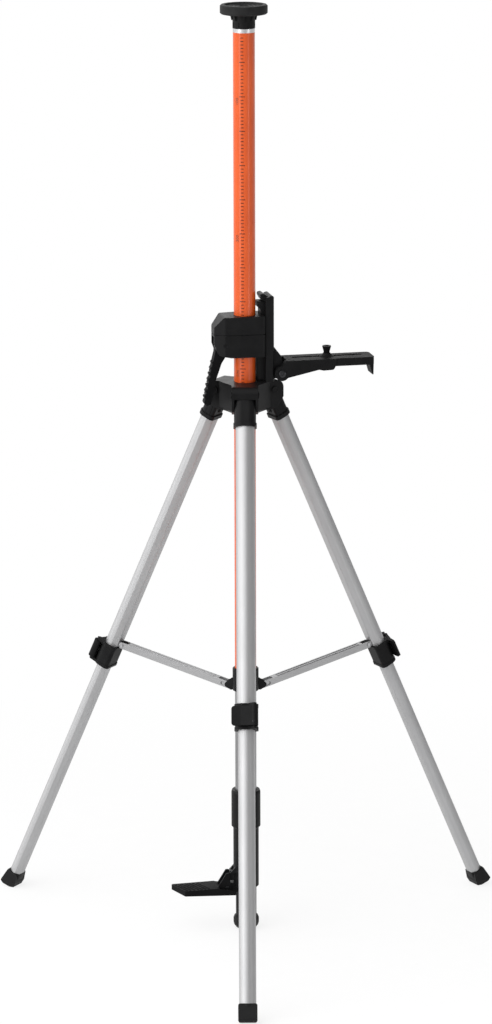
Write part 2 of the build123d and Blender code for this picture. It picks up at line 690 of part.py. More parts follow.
def brace():
    """Pressed channel with a slotted inner end."""
    length = brace_length()
    end = length - GAP
    height, half = BRACE_HALF_H, BRACE_HALF_W
    side = slab([(-end, -height), (0, -height), (0, height), (-end, height)], -half, half)
    side += pin(height, -half, half, 0, 0) + pin(height, -half, half, -end, 0)
    inner = half - BRACE_WALL
    side -= block(-length - 2 * height, 2 * height, -inner, inner, -2 * height, height - BRACE_WALL)
    side -= block(-EAR_R - EAR_RISE, 2 * height, -inner, inner, -2 * height, 2 * height)
    side -= block(-length - 2 * height, -length + 2 * SLOT_TRAVEL, -inner, inner, -2 * height, 2 * height)
    slot = block(-length, -length + SLOT_TRAVEL, -2 * half, 2 * half, -SLOT_R, SLOT_R)
    slot += pin(SLOT_R, -2 * half, 2 * half, -length, 0)
    slot += pin(SLOT_R, -2 * half, 2 * half, -length + SLOT_TRAVEL, 0)
    for width in (-0.5, 0.5):
        middle = width * half
        side += block(-length + 3 * SLOT_TRAVEL, -3 * EAR_R, middle - 0.9, middle + 0.9, height - 0.5,
                      height + 0.6)
    return side - slot - pin(RIVET_R, -2 * half, 2 * half, 0, 0)


def brace_rivet():
    """Rivet of a brace's outer pivot."""
    head = 0.65 * RIVET_R
    body = pin(RIVET_R, -BRACE_HALF_W - head, BRACE_HALF_W + head, 0, 0)
    body += pin(1.7 * RIVET_R, BRACE_HALF_W, BRACE_HALF_W + head, 0, 0)
    return body + pin(1.7 * RIVET_R, -BRACE_HALF_W - head, -BRACE_HALF_W, 0, 0)


def brace_hub():
    """Sleeve that slides on the pole, with a tongue inside each brace's inner end."""
    rho, z = ring_point()
    low, high = z - RING_DOWN, z + RING_UP
    body = rod(RING_R, low, high)
    body = chamfer(body.edges().group_by(Axis.Z)[-1], 0.35 * RING_WALL)
    half = BRACE_HALF_W - BRACE_WALL - GAP
    root = POLE_R - RUN
    tongue = [(root, low), (RING_R, low), (rho + 2.6, z - 3.0), (rho + 4.2, z), (rho + 3.4, z + 5.0),
              (RING_R, z + 13.0), (root, z + 13.0)]
    tongue = slab(tongue, -half, half, {2: 2.0, 3: 2.0, 4: 2.0})
    pocket = shifted([(-RING_EAR - RING_WALL - 5.0, -RING_DOWN - 1.0), (RING_EAR, -RING_DOWN - 1.0),
                      (RING_EAR, 9.0),
                      (-RING_EAR - RING_WALL - 5.0, 9.0)], rho, z)
    pocket = twin(pocket, half, BRACE_HALF_W + GAP)
    bore = pin(RING_PIN_R, -20, 20, rho, z)
    for azimuth in LEG_AZ.values():
        body += Rot(0, 0, azimuth) * tongue
    for azimuth in LEG_AZ.values():
        body -= Rot(0, 0, azimuth) * pocket
        body -= Rot(0, 0, azimuth) * bore
    return body - rod(POLE_R + RUN, low - 5, high + 5)


def brace_hub_pins():
    """The three pins that run in the braces' slots."""
    half = BRACE_HALF_W + 3 * GAP
    one = pin(RING_PIN_R, -half, half, *ring_point())
    return Compound([Rot(0, 0, azimuth) * one for azimuth in LEG_AZ.values()])


# Carriage

def carriage_outline():
    """Front outline of the clamp's body, both halves."""
    nose = -(POLE_R + NOSE)
    points = [(nose + 0.41 * NOSE, BODY_TOP), (BODY_END, BODY_TOP), (BODY_END, BODY_FOOT),
              (LEVER_X + HEAD_R, BODY_FOOT), (nose + 0.2 * NOSE, BODY_FOOT + 0.05 * BODY_H),
              (nose, BODY_FOOT + 0.32 * BODY_H), (nose, BODY_TOP - 0.26 * BODY_H)]
    return slab(points, -2 * BODY_HALF, 2 * BODY_HALF, {0: 4.0, 3: 4.0, 4: 5.0, 5: 7.0, 6: 6.0})


def carriage_plan(z0, z1, inset=0.0):
    """Plan of the clamp's body between two heights."""
    left = inset - POLE_R - NOSE
    right = BODY_END - inset
    half = BODY_HALF - inset
    points = [(left, -0.48 * half), (LEVER_X, -0.88 * half), (-0.75 * POLE_R, -half), (right, -half),
              (right, half),
              (-0.75 * POLE_R, half), (LEVER_X, 0.88 * half), (left, 0.48 * half)]
    return sheet(points, z0, z1, {0: 4.0, 1: 8.0, 2: 12.0, 3: 5.0, 4: 5.0, 5: 12.0, 6: 8.0, 7: 4.0})


def lever_pocket():
    """Space for the squeeze lever's head."""
    left = LEVER_X - 2 * NOSE
    low = BODY_FOOT - 10
    deep = LEVER_X + POCKET_BACK
    points = [(left, low), (deep + 4.4, low), (deep + 4.4, LEVER_Z - 14.0), (deep, LEVER_Z - 10.0),
              (deep, POCKET_TOP),
              (left, POCKET_TOP)]
    return slab(points, -LEVER_HALF - GAP, LEVER_HALF + GAP)


def shoe_block(x0, x1):
    """Block of the brake shoe's height between two distances from the pole's axis."""
    return block(x0, x1, -SHOE_HALF, SHOE_HALF, LEVER_Z - 10.0, LEVER_Z + 6.0)


def carriage_body():
    """Lower half of the clamp block that slides on the pole."""
    body = carriage_outline() & carriage_plan(BODY_FOOT - 5, BODY_SEAM)
    body -= lever_pocket()
    body -= shoe_block(LEVER_X + POCKET_BACK - 0.5, -POLE_R / 2)
    body -= pin(LEVER_PIN_R, -2 * BODY_HALF, 2 * BODY_HALF, LEVER_X, LEVER_Z)
    return body - rod(POLE_R + RUN, BODY_FOOT - 5, BODY_SEAM + 5)


def carriage_cap():
    """Upper half of the clamp block, with a groove at the seam."""
    lip = BODY_SEAM + SEAM_GROOVE
    body = carriage_outline() & carriage_plan(lip, BODY_TOP + 5)
    body += carriage_outline() & carriage_plan(BODY_SEAM, lip + RUN, SEAM_GROOVE)
    return body - rod(POLE_R + RUN, BODY_SEAM - 5, BODY_TOP + 5)


def brake_shoe():
    """Friction shoe that the lever presses on the pole."""
    body = shoe_block(LEVER_X + HEAD_R + GAP, -0.85 * POLE_R)
    return body - rod(POLE_R + RUN / 2, LEVER_Z - 20, LEVER_Z + 20)


def lever_leaf_spring():
    """Leaf spring over the lever's head."""
    leaf = [(POCKET_BACK, 0.0), (POCKET_BACK, -0.8), (3.0, -0.8), (-6.0, -2.4), (-6.2, -1.6), (3.0, 0.0)]
    return slab(shifted(leaf, LEVER_X, POCKET_TOP), -0.7 * LEVER_HALF, 0.7 * LEVER_HALF)


def lever_pin():
    """Pivot pin of the squeeze lever."""
    half = 0.7 * BODY_HALF
    return pin(LEVER_PIN_R, -half, half, LEVER_X, LEVER_Z)


def clamp_lever():
    """Squeeze lever with a serrated outer face."""
    points = [(-11.6, 4.0), (-12.4, -11.0)]
    for step in range(9):
        x, z = -18.3 - 1.21 * step, -35.0 - 5.6 * step
        points += [(x, z), (x + 1.0, z - 1.2), (x - 0.5, z - 2.4)]
    points += [(-29.3, -86.0), (-26.5, -90.5), (-19.5, -89.0), (-17.0, -80.0), (-12.0, -54.0),
               (-3.0, -28.0),
               (6.0, -14.0), (6.0, 0.0)]
    last = len(points)
    radii = {last - 8: 2.5, last - 7: 2.5, last - 6: 2.5, last - 4: 12.0, last - 3: 12.0}
    body = slab(shifted(points, LEVER_X, LEVER_Z), -LEVER_HALF, LEVER_HALF, radii)
    body += pin(HEAD_R, -LEVER_HALF, LEVER_HALF, LEVER_X, LEVER_Z)
    return body - pin(LEVER_PIN_R + RUN / 2, -20, 20, LEVER_X, LEVER_Z)


def guide_rail():
    """T-shaped rail on the clamp block that carries the arm, with a web above and below the block."""
    half = RAIL_NECK_HALF
    near = POLE_R + RAIL_WEB_GAP
    body = block(BODY_END, RAIL_MID, -half, half, RAIL_FOOT, RAIL_TOP)
    body += block(RAIL_MID - RUN, RAIL_END, -RAIL_HEAD_HALF, RAIL_HEAD_HALF, RAIL_FOOT, RAIL_TOP)
    body += block(near, BODY_END + RUN, -half, half, RAIL_FOOT, BODY_FOOT)
    web = [(near + 0.4 * BACK_WALL, BODY_TOP), (BODY_END + RUN, BODY_TOP), (BODY_END + RUN, RAIL_TOP),
           (near, RAIL_TOP),
           (near, BODY_TOP + 0.6 * RAIL_UP), (near + 0.4 * BACK_WALL, BODY_TOP + 0.4 * RAIL_UP)]
    return body + slab(web, -half, half)


def arm_carrier():
    """Slider on the rail with the arm's pivot ear and a thumb hook on top."""
    face = BODY_END + 2 * GAP
    end = CARRIER_END
    plan = [(face, -CARRIER_HALF), (end, -CARRIER_HALF), (end, CARRIER_HALF), (face, CARRIER_HALF)]
    body = sheet(plan, CARRIER_FOOT, CARRIER_TOP, {1: 4.0, 2: 2.0})
    low = RAIL_TOP + GAP
    roof = [(face, CARRIER_FOOT - 1), (end + 1, CARRIER_FOOT - 1), (end + 1, CARRIER_TOP - 3.5),
            (end - 3.0, CARRIER_TOP),
            (RAIL_END - 2.0, CARRIER_TOP - 0.6), (RAIL_MID, CARRIER_TOP - 2.4), (face, CARRIER_TOP - 2.4)]
    body = body & slab(roof, -2 * CARRIER_HALF, 2 * CARRIER_HALF, {3: 2.5})
    hook = [(-6.2, 10.8), (-6.2, 7.4), (-3.0, 1.2), (3.0, 1.2), (5.5, 7.4), (2.5, 9.2), (-1.0, 12.0)]
    body += slab(shifted(hook, BODY_END, RAIL_TOP), -HOOK_HALF, HOOK_HALF, {0: 1.5, 2: 2.5, 6: 2.0})
    ear = [(end - 3.5, ARM_Z + 44.0), (end, ARM_Z + 40.0), (ARM_X - 0.5, ARM_Z + 26.5),
           (ARM_X + 5.6, ARM_Z + 7.0),
           (ARM_X, ARM_Z - 7.0), (end - 3.5, ARM_Z - 9.0)]
    body += slab(ear, -EAR_A_HALF, EAR_A_HALF, {2: 2.0, 3: 3.0})
    body += pin(0.68 * ARM_KNUCKLE, -EAR_A_HALF, EAR_A_HALF, ARM_X, ARM_Z)
    wide, slim = RAIL_HEAD_HALF + GAP, RAIL_NECK_HALF + GAP
    body -= block(RAIL_MID - RUN - GAP, RAIL_END + GAP, -wide, wide, CARRIER_FOOT - 5, low)
    body -= block(BODY_END - 5.0, RAIL_MID, -slim, slim, CARRIER_FOOT - 5, low)
    for width in (-0.5, 0.0, 0.5):
        middle = width * CARRIER_HALF
        body -= block(end - 0.3 * CARRIER_WALL, end + 2, middle - 1.4, middle + 1.4, ARM_Z + 47.0,
                      RAIL_TOP - 2.0)
    return body - pin(ARM_PIN_R, -40, 40, ARM_X, ARM_Z)


def arm_pivot_pin():
    """Pivot pin of the arm."""
    return pin(ARM_PIN_R, -ARM_HALF - GAP, ARM_HALF + GAP, ARM_X, ARM_Z)


def arm_base():
    """Folding arm: a tapered channel that the platform slides in."""
    end = ARM_X + ARM_L
    low = ARM_Z + 0.2 * ARM_DEPTH
    points = [(ARM_X - 6.7, ARM_Z + 2.0), (ARM_X - 3.5, ARM_Z + 6.4), (ARM_X + 6.5, ARM_TOP),
              (end, ARM_TOP),
              (end, ARM_TOP - 0.5 * ARM_DEPTH), (end - 3.5, low - 1.0), (end - 19.0, low - 1.6),
              (end - 25.5, low),
              (ARM_X + 8.5, ARM_Z - ARM_HEEL), (ARM_X - 4.5, ARM_Z - ARM_HEEL)]
    body = slab(points, -ARM_HALF, ARM_HALF, {2: 3.0, 5: 4.0, 6: 5.0, 7: 5.0})
    body += pin(ARM_KNUCKLE, -ARM_HALF, ARM_HALF, ARM_X, ARM_Z)
    notch = EAR_A_HALF + GAP
    body -= block(CARRIER_END - 10, ARM_X + 0.8 * ARM_KNUCKLE, -notch, notch, ARM_Z - 20, ARM_TOP + 20)
    bed = PLATE_HALF + GAP
    body -= block(PLATE_X - GAP, end + 10, -bed, bed, PLATE_Z - GAP, ARM_TOP + 20)
    return body - pin(ARM_PIN_R + RUN / 2, -40, 40, ARM_X, ARM_Z)


def plate_slot(half, z0, z1):
    """Long slot along the platform."""
    face = SlotCenterToCenter(SLOT_L, 2 * half)
    middle = (PLATE_X + PLATE_END) / 2 - 0.03 * PLATE_L
    return Pos(middle, SLOT_Y, z0) * extrude(face, amount=z1 - z0)


def slide_plate():
    """Platform that slides out of the arm, slotted for the screw's saddle."""
    half = PLATE_HALF
    plan = [(PLATE_X, -half), (PLATE_END, -half), (PLATE_END, half), (PLATE_X, half)]
    body = sheet(plan, PLATE_Z, ARM_TOP, {1: 0.3 * half, 2: 0.3 * half})
    lip = [(PLATE_END - LIP_T, PLATE_Z + 1), (PLATE_END, PLATE_Z + 1),
           (PLATE_END - 0.4, PLATE_Z - LIP_DROP),
           (PLATE_END - 1.9, PLATE_Z - LIP_DROP)]
    body += slab(lip, -0.7 * half, 0.7 * half)
    body -= plate_slot(SLOT_HALF, PLATE_Z - 5, ARM_TOP + 5)
    return body - plate_slot(TEE_HALF, PLATE_Z - 5, ARM_TOP - SLOT_ROOF)


def stud_saddle():
    """Saddle in the platform's slot, with the stud that the knob turns on."""
    low = PLATE_Z + GAP
    base = ARM_TOP + RUN
    top = KNOB_FOOT - GAP
    stem = SLOT_HALF - GAP
    profile = [(0, low), (0, KNOB_FOOT + STUD_H), (STUD_R, KNOB_FOOT + STUD_H), (STUD_R, top),
               (0.5 * SADDLE_R, top),
               (0.58 * SADDLE_R, base + 0.6 * SADDLE_H), (0.77 * SADDLE_R, base + 0.25 * SADDLE_H),
               (SADDLE_R, base + GAP),
               (SADDLE_R, base), (stem, base), (stem, low)]
    body = Pos(KNOB_X, SLOT_Y, 0) * lathe(profile)
    half = TEE_HALF - 2 * GAP
    foot = min(ARM_TOP - SLOT_ROOF - GAP, low + 3.4)
    return body + block(KNOB_X - half, KNOB_X + half, SLOT_Y - half, SLOT_Y + half, low, foot)


def thumb_knob():
    """Tapered fluted knob with a threaded hole in its top."""
    low, high = KNOB_FOOT, KNOB_TOP
    rim = 0.67 * KNOB_R
    profile = [(0, low), (KNOB_FOOT_R, low), (KNOB_FOOT_R + 0.2, low + 0.2 * KNOB_H),
               (KNOB_R, high - 0.1 * KNOB_H),
               (0.94 * KNOB_R, high), (rim, high), (0.9 * rim, high - 0.06 * KNOB_H),
               (0, high - 0.06 * KNOB_H)]
    body = lathe(profile)
    for turn in range(0, 360, 45):
        groove = Rot(0, 14.5, 0) * Cylinder(0.1 * KNOB_R, 2 * KNOB_H)
        body -= Rot(0, 0, turn) * Pos(0.89 * KNOB_R, 0, low + 0.6 * KNOB_H) * groove
    body -= rod(STUD_R + RUN / 2, low - 1, KNOB_FOOT + STUD_H + GAP)
    body -= rod(THREAD_R, high - THREAD_L, high + 1)
    return Pos(KNOB_X, SLOT_Y, 0) * body


def build_pole():
    """Write the pole, mast, pedal and hub."""
    save("pole_tube", pole_tube())
    save("lower_tube", lower_tube())
    save("pole_ferrule", pole_ferrule())
    save("mast_tube", mast_tube())
    save("mast_plug", mast_plug())
    save("cap_hub", cap_hub())
    save("ceiling_pad", ceiling_pad())
    save("pedal_sleeve", pedal_sleeve())
    save("pedal_pin", pedal_pin())
    save("pedal", pedal())
    save("foot_column", foot_column())
    save("pole_foot", pole_foot())
    save("tripod_hub", tripod_hub())
    save("leg_pivot_pins", leg_pivot_pins())
    save("brace_hub", brace_hub())
    save("brace_hub_pins", brace_hub_pins())


def build_legs():
    """Write the pieces that each leg repeats."""
    local = {
        "leg_socket": leg_socket(),
        "upper_leg": upper_leg(),
        "lower_leg": lower_leg(),
        "leg_guide": leg_guide(),
        "lock_collar": lock_collar(),
        "lock_pin": lock_pin(),
        "lock_lever": lock_lever(),
    }
    upright = leg_foot()
    channel = brace()
    rivet = brace_rivet()
    for side, azimuth in LEG_AZ.items():
        for name, shape in local.items():
            save(f"{name}_{side}", leg_frame(azimuth) * shape)
        save(f"leg_foot_{side}", Rot(0, 0, azimuth) * upright)
        save(f"brace_{side}", brace_frame(azimuth) * channel)
        save(f"brace_rivet_{side}", brace_frame(azimuth) * rivet)


def build_carriage():
    """Write the carriage and its arm, turned about the pole."""
    turn = Rot(0, 0, ARM_TURN)
    save("carriage_body", turn * carriage_body())
    save("carriage_cap", turn * carriage_cap())
    save("brake_shoe", turn * brake_shoe())
    save("lever_leaf_spring", turn * lever_leaf_spring())
    save("lever_pin", turn * lever_pin())
    save("clamp_lever", turn * clamp_lever())
    save("guide_rail", turn * guide_rail())
    save("arm_carrier", turn * arm_carrier())
    save("arm_pivot_pin", turn * arm_pivot_pin())
    save("arm_base", turn * arm_base())
    save("slide_plate", turn * slide_plate())
    save("stud_saddle", turn * stud_saddle())
    save("thumb_knob", turn * thumb_knob())


build_pole()
build_legs()
build_carriage()
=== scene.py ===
"""Laser level tripod: finishes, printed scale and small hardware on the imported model, with its studio."""

import json
import logging
import math
from dataclasses import dataclass
from enum import Enum
from typing import Callable, Iterable, Sequence

import bpy
from mathutils import Matrix, Vector


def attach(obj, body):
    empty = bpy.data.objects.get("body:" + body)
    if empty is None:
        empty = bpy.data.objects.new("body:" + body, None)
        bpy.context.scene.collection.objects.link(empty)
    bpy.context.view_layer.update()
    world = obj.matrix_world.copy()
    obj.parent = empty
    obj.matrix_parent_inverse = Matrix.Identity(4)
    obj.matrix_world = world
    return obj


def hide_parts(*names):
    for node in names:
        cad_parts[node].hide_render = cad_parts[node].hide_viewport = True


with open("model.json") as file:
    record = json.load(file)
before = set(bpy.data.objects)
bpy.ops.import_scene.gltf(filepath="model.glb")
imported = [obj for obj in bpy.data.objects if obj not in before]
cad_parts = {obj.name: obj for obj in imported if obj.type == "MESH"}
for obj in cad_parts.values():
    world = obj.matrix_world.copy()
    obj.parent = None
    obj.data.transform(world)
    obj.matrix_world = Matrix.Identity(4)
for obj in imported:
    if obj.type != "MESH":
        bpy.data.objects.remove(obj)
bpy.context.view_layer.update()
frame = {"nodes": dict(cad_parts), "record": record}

log = logging.getLogger("tripod")

Colour = tuple[float, float, float]
Span = tuple[float, float]
Material = bpy.types.Material
Piece = bpy.types.Object
Socket = bpy.types.NodeSocket

MM = 0.001
SIDES = ("front", "right", "left")
BOTH_WAYS = (1.0, -1.0)

# Places of the part, in millimetres and degrees. A pair is a distance from the pole's axis and a height.
LEG_AZIMUTH = {"front": -90.0, "right": 30.0, "left": 150.0}
LEG_TILT = 24.72
LEG_PIVOT = (39.65, 829.03)
BRACE_TILT = 80.2
LEVER_PIVOT = (-33.0, 900.03)
ARM_TURN = 12.0
PEDAL_TURN = 184.0
POLE_RADIUS = 15.9

# Edges sharper than these stay sharp when a piece is smoothed, in degrees.
SHARP_EDGE = 32.0
TUBE_EDGE = 25.0
RING_EDGE = 50.0


class Slot(Enum):
    """Material slots of the record."""

    PAINT = "orange_paint"
    TUBE = "bare_tube"
    RING = "bare_ring"
    MAST = "mast_metal"
    LEG = "leg_metal"
    BRACE = "brace_metal"
    PIN = "pin_steel"
    BLACK = "black_plastic"
    HUB = "hub_plastic"
    SLEEVE = "sleeve_plastic"
    PEDAL = "pedal_plastic"
    CARRIAGE = "carriage_plastic"
    LEVER = "lever_plastic"
    ARM = "arm_plastic"
    KNOB = "knob_plastic"
    LOCK = "lock_plastic"
    INNER = "inner_plastic"
    PAD = "pad_rubber"
    FOOT = "foot_rubber"


class Grain(Enum):
    """Direction of a metal's drawing lines, as the azimuth and tilt of the piece."""

    POLE = (0.0, 0.0)
    LEG_FRONT = (LEG_AZIMUTH["front"], LEG_TILT)
    LEG_RIGHT = (LEG_AZIMUTH["right"], LEG_TILT)
    LEG_LEFT = (LEG_AZIMUTH["left"], LEG_TILT)
    BRACE_FRONT = (LEG_AZIMUTH["front"], BRACE_TILT)
    BRACE_RIGHT = (LEG_AZIMUTH["right"], BRACE_TILT)
    BRACE_LEFT = (LEG_AZIMUTH["left"], BRACE_TILT)


class Graph:
    """Small wrapper that lays out one node tree."""

    MIX_FIRST = 6
    MIX_SECOND = 7
    MIX_RESULT = 2
    EDGE_SAMPLES = 4
    EDGE_SPAN = (0.80, 0.995)

    def __init__(self, name: str, world: bool = False) -> None:
        """Start an empty material or world with an output node.

        Args:
            name: Name of the material or world.
            world: Whether it is a world.
        """
        self.owner = (bpy.data.worlds if world else bpy.data.materials).new(name)
        self.owner.use_nodes = True
        self.tree = self.owner.node_tree
        self.tree.nodes.clear()
        self.output = self.node("OutputWorld" if world else "OutputMaterial")

    def feed(self, socket: Socket, value: object) -> None:
        """Link a socket or set its value.

        Args:
            socket: Input to fill.
            value: Another node's output, a number or a sequence.
        """
        if isinstance(value, Socket):
            self.tree.links.new(value, socket)
        elif isinstance(value, (tuple, list)) and socket.type == "RGBA" and len(value) == 3:
            socket.default_value = (*value, 1.0)
        else:
            socket.default_value = value

    def node(self, kind: str, inputs: dict[object, object] | None = None,
             **settings: object) -> bpy.types.Node:
        """Add a node.

        Args:
            kind: Node type without its ShaderNode prefix.
            inputs: Values or links by socket name or index.
            **settings: Properties of the node.

        Returns:
            The new node.
        """
        made = self.tree.nodes.new("ShaderNode" + kind)
        for key, value in settings.items():
            setattr(made, key, value)
        for key, value in (inputs or {}).items():
            self.feed(made.inputs[key], value)
        return made

    def math(self, operation: str, *values: object) -> Socket:
        """Math node on up to three values.

        Args:
            operation: Blender's name of the operation.
            *values: Numbers or sockets.

        Returns:
            The result's socket.
        """
        return self.node("Math", dict(enumerate(values)), operation=operation).outputs[0]

    def place(self) -> Socket:
        """Object coordinates, in metres."""
        return self.node("TexCoord").outputs["Object"]

    def turned(self, grain: Grain, stretch: Sequence[float]) -> Socket:
        """Object coordinates turned so that Z runs along a piece, then scaled.

        Args:
            grain: Direction of the piece.
            stretch: Scale on each axis.

        Returns:
            The vector's socket.
        """
        azimuth, tilt = (math.radians(angle) for angle in grain.value)
        upright = self.node("Mapping", {"Vector": self.place(), "Rotation": (0.0, 0.0, -azimuth)})
        laid = self.node("Mapping", {"Vector": upright.outputs[0], "Rotation": (0.0, tilt, 0.0)})
        return self.node("Mapping", {"Vector": laid.outputs[0], "Scale": tuple(stretch)}).outputs[0]

    def noise(self, vector: Socket, scale: float, detail: float = 3.0, roughness: float = 0.5) -> Socket:
        """Noise in the range from 0 to 1.

        Args:
            vector: Where it is read.
            scale: Features per metre, roughly.
            detail: Octaves.
            roughness: Weight of the finer octaves.

        Returns:
            The factor's socket.
        """
        values = {"Vector": vector, "Scale": scale, "Detail": detail, "Roughness": roughness}
        return self.node("TexNoise", values).outputs["Fac"]

    def span(self, value: Socket, low: float, high: float, source: Span = (0.3, 0.7)) -> Socket:
        """Map a value from a source range to another range, clamped.

        Args:
            value: Socket to map.
            low: Result at the range's start.
            high: Result at the range's end.
            source: Range of the value.

        Returns:
            The result's socket.
        """
        values = {"Value": value, "From Min": source[0], "From Max": source[1], "To Min": low, "To Max": high}
        return self.node("MapRange", values).outputs["Result"]

    def weighted(self, first: Socket, second: Socket, share: float) -> Socket:
        """Weighted mean of two factors.

        Args:
            first: One factor.
            second: The other factor.
            share: Weight of the first.

        Returns:
            The mean's socket.
        """
        rest = self.math("MULTIPLY", second, 1.0 - share)
        return self.math("ADD", self.math("MULTIPLY", first, share), rest)

    def blend(self, factor: Socket, first: object, second: object) -> Socket:
        """Mix two colours.

        Args:
            factor: 0 gives the first, 1 the second.
            first: Colour or socket.
            second: Colour or socket.

        Returns:
            The colour's socket.
        """
        made = self.node("Mix", data_type="RGBA")
        self.feed(made.inputs["Factor"], factor)
        self.feed(made.inputs[self.MIX_FIRST], first)
        self.feed(made.inputs[self.MIX_SECOND], second)
        return made.outputs[self.MIX_RESULT]

    def mottled(self, noise: Socket, first: Colour, second: Colour) -> Socket:
        """Colour that wanders between two colours with a noise.

        Args:
            noise: Noise in the range from 0 to 1.
            first: Colour where the noise is low.
            second: Colour where it is high.

        Returns:
            The colour's socket.
        """
        return self.blend(self.span(noise, 0.0, 1.0), first, second)

    def soft_edge(self, radius: float) -> Socket:
        """Normal with edges rounded by a radius in metres."""
        return self.node("Bevel", {"Radius": radius}, samples=self.EDGE_SAMPLES).outputs[0]

    def edge_mask(self, rounded: Socket) -> Socket:
        """Mask of the edges, from the difference between the rounded and the true normal.

        Args:
            rounded: Normal from soft_edge.

        Returns:
            A factor that is 1 on sharp edges.
        """
        true = self.node("NewGeometry").outputs["Normal"]
        dot = self.node("VectorMath", {0: rounded, 1: true}, operation="DOT_PRODUCT").outputs["Value"]
        return self.span(dot, 1.0, 0.0, self.EDGE_SPAN)

    def bump(self, height: Socket, distance: float, strength: float, normal: Socket | None = None) -> Socket:
        """Bump from a height.

        Args:
            height: Height between 0 and 1.
            distance: Depth of the relief in metres.
            strength: How much of it is used.
            normal: Normal to build on.

        Returns:
            The normal's socket.
        """
        values = {"Height": height, "Distance": distance, "Strength": strength}
        if normal is not None:
            values["Normal"] = normal
        return self.node("Bump", values).outputs[0]

    def close(self, shader: bpy.types.Node) -> None:
        """Link a shader to the tree's output."""
        self.tree.links.new(shader.outputs[0], self.output.inputs["Surface"])

    def finish(self, **inputs: object) -> Material:
        """Close the tree with a principled shader.

        Args:
            **inputs: Values or links by socket name, with spaces written as underscores.

        Returns:
            The material.
        """
        values = {key.replace("_", " "): value for key, value in inputs.items()}
        self.close(self.node("BsdfPrincipled", values))
        return self.owner


def cool(level: float, blue: float) -> Colour:
    """Grey with its own level of blue."""
    return (level, level, blue)


@dataclass(frozen=True)
class ScalePaint:
    """Orange paint of the pole, with the scale printed on it."""

    light: Colour = (0.62, 0.090, 0.013)
    deep: Colour = (0.56, 0.075, 0.010)
    ink: Colour = (0.020, 0.005, 0.003)
    radius: float = POLE_RADIUS * MM
    first_tick: float = 1313.8 * MM
    pitch: float = 5.0 * MM
    long_every: int = 10
    stroke: float = 1.35 * MM
    azimuth: float = -100.6
    short_half: float = 2.1 * MM
    long_half: float = 4.2 * MM
    scale_span: Span = (0.42, 1.3535)
    whole_cycles: float = 100.0
    mottle_scale: float = 22.0
    ink_scale: float = 900.0
    ink_cover: Span = (0.86, 0.98)
    scuff_stretch: tuple[float, float, float] = (700.0, 700.0, 12.0)
    roughness: Span = (0.24, 0.34)
    peel_scale: float = 650.0
    peel_depth: float = 0.02 * MM
    peel_share: float = 0.35
    shine: float = 0.26
    coat: float = 0.16
    coat_roughness: float = 0.12

    def strokes(self, graph: Graph, arc: Socket, z: Socket, every: float, half: float) -> Socket:
        """Mask of one family of ticks.

        Args:
            graph: Tree to build in.
            arc: Distance round the pole from the scale's middle line.
            z: Height.
            every: Pitch of the ticks.
            half: Half of a tick's length.

        Returns:
            A factor that is 1 on the ink.
        """
        cycles = graph.math("DIVIDE", graph.math("SUBTRACT", z, self.first_tick), every)
        positive = graph.math("ADD", cycles, self.whole_cycles + 0.5)
        phase = graph.math("SUBTRACT", graph.math("FRACT", positive), 0.5)
        row = graph.math("COMPARE", phase, 0.0, self.stroke / every / 2)
        return graph.math("MULTIPLY", row, graph.math("COMPARE", arc, 0.0, half))

    def material(self) -> Material:
        """Build the paint's material.

        Returns:
            The material.
        """
        graph = Graph("orange_scale_paint")
        place = graph.place()
        axes = graph.node("SeparateXYZ", {0: place})
        angle = graph.math("ARCTAN2", axes.outputs["Y"], axes.outputs["X"])
        arc = graph.math("MULTIPLY", graph.math("SUBTRACT", angle, math.radians(self.azimuth)), self.radius)
        z = axes.outputs["Z"]
        short = self.strokes(graph, arc, z, self.pitch, self.short_half)
        long = self.strokes(graph, arc, z, self.pitch * self.long_every, self.long_half)
        low, high = self.scale_span
        inside = graph.math("COMPARE", z, (low + high) / 2, (high - low) / 2)
        printed = graph.math("MULTIPLY", graph.math("MAXIMUM", short, long), inside)
        cover = graph.span(graph.noise(place, self.ink_scale, detail=2.0), *self.ink_cover)
        paint = graph.mottled(graph.noise(place, self.mottle_scale, detail=4.0), self.light, self.deep)
        colour = graph.blend(graph.math("MULTIPLY", printed, cover), paint, self.ink)
        scuff = graph.noise(graph.turned(Grain.POLE, self.scuff_stretch), 1.0, detail=4.0)
        pits = graph.noise(place, self.peel_scale, detail=2.0)
        peel = graph.bump(pits, self.peel_depth, self.peel_share)
        return graph.finish(Base_Color=colour, Roughness=graph.span(scuff, *self.roughness), Normal=peel,
                            Specular_IOR_Level=self.shine, Coat_Weight=self.coat,
                            Coat_Roughness=self.coat_roughness)


@dataclass(frozen=True)
class DrawnMetal:
    """Satin metal with fine drawing lines along the piece."""

    name: str
    tint: Colour
    shade: Colour
    grain: Grain
    roughness: Span = (0.30, 0.42)
    line: float = 0.5
    metallic: float = 1.0
    edge: float = 0.4
    cloud_scale: float = 14.0
    fine_stretch: tuple[float, float, float] = (2600.0, 2600.0, 14.0)
    broad_stretch: tuple[float, float, float] = (320.0, 320.0, 3.0)
    broad_share: float = 0.55
    fine_share: float = 0.6
    line_depth: float = 0.012

    def material(self) -> Material:
        """Build the metal's material.

        Returns:
            The material.
        """
        graph = Graph(self.name)
        fine = graph.noise(graph.turned(self.grain, self.fine_stretch), 1.0)
        broad = graph.noise(graph.turned(self.grain, self.broad_stretch), 1.0)
        cloud = graph.noise(graph.place(), self.cloud_scale, detail=4.0)
        colour = graph.mottled(graph.weighted(broad, cloud, self.broad_share), self.tint, self.shade)
        rough = graph.span(graph.weighted(fine, cloud, self.fine_share), *self.roughness)
        relief = graph.bump(fine, self.line_depth * MM, self.line, graph.soft_edge(self.edge * MM))
        return graph.finish(Base_Color=colour, Metallic=self.metallic, Roughness=rough, Normal=relief)


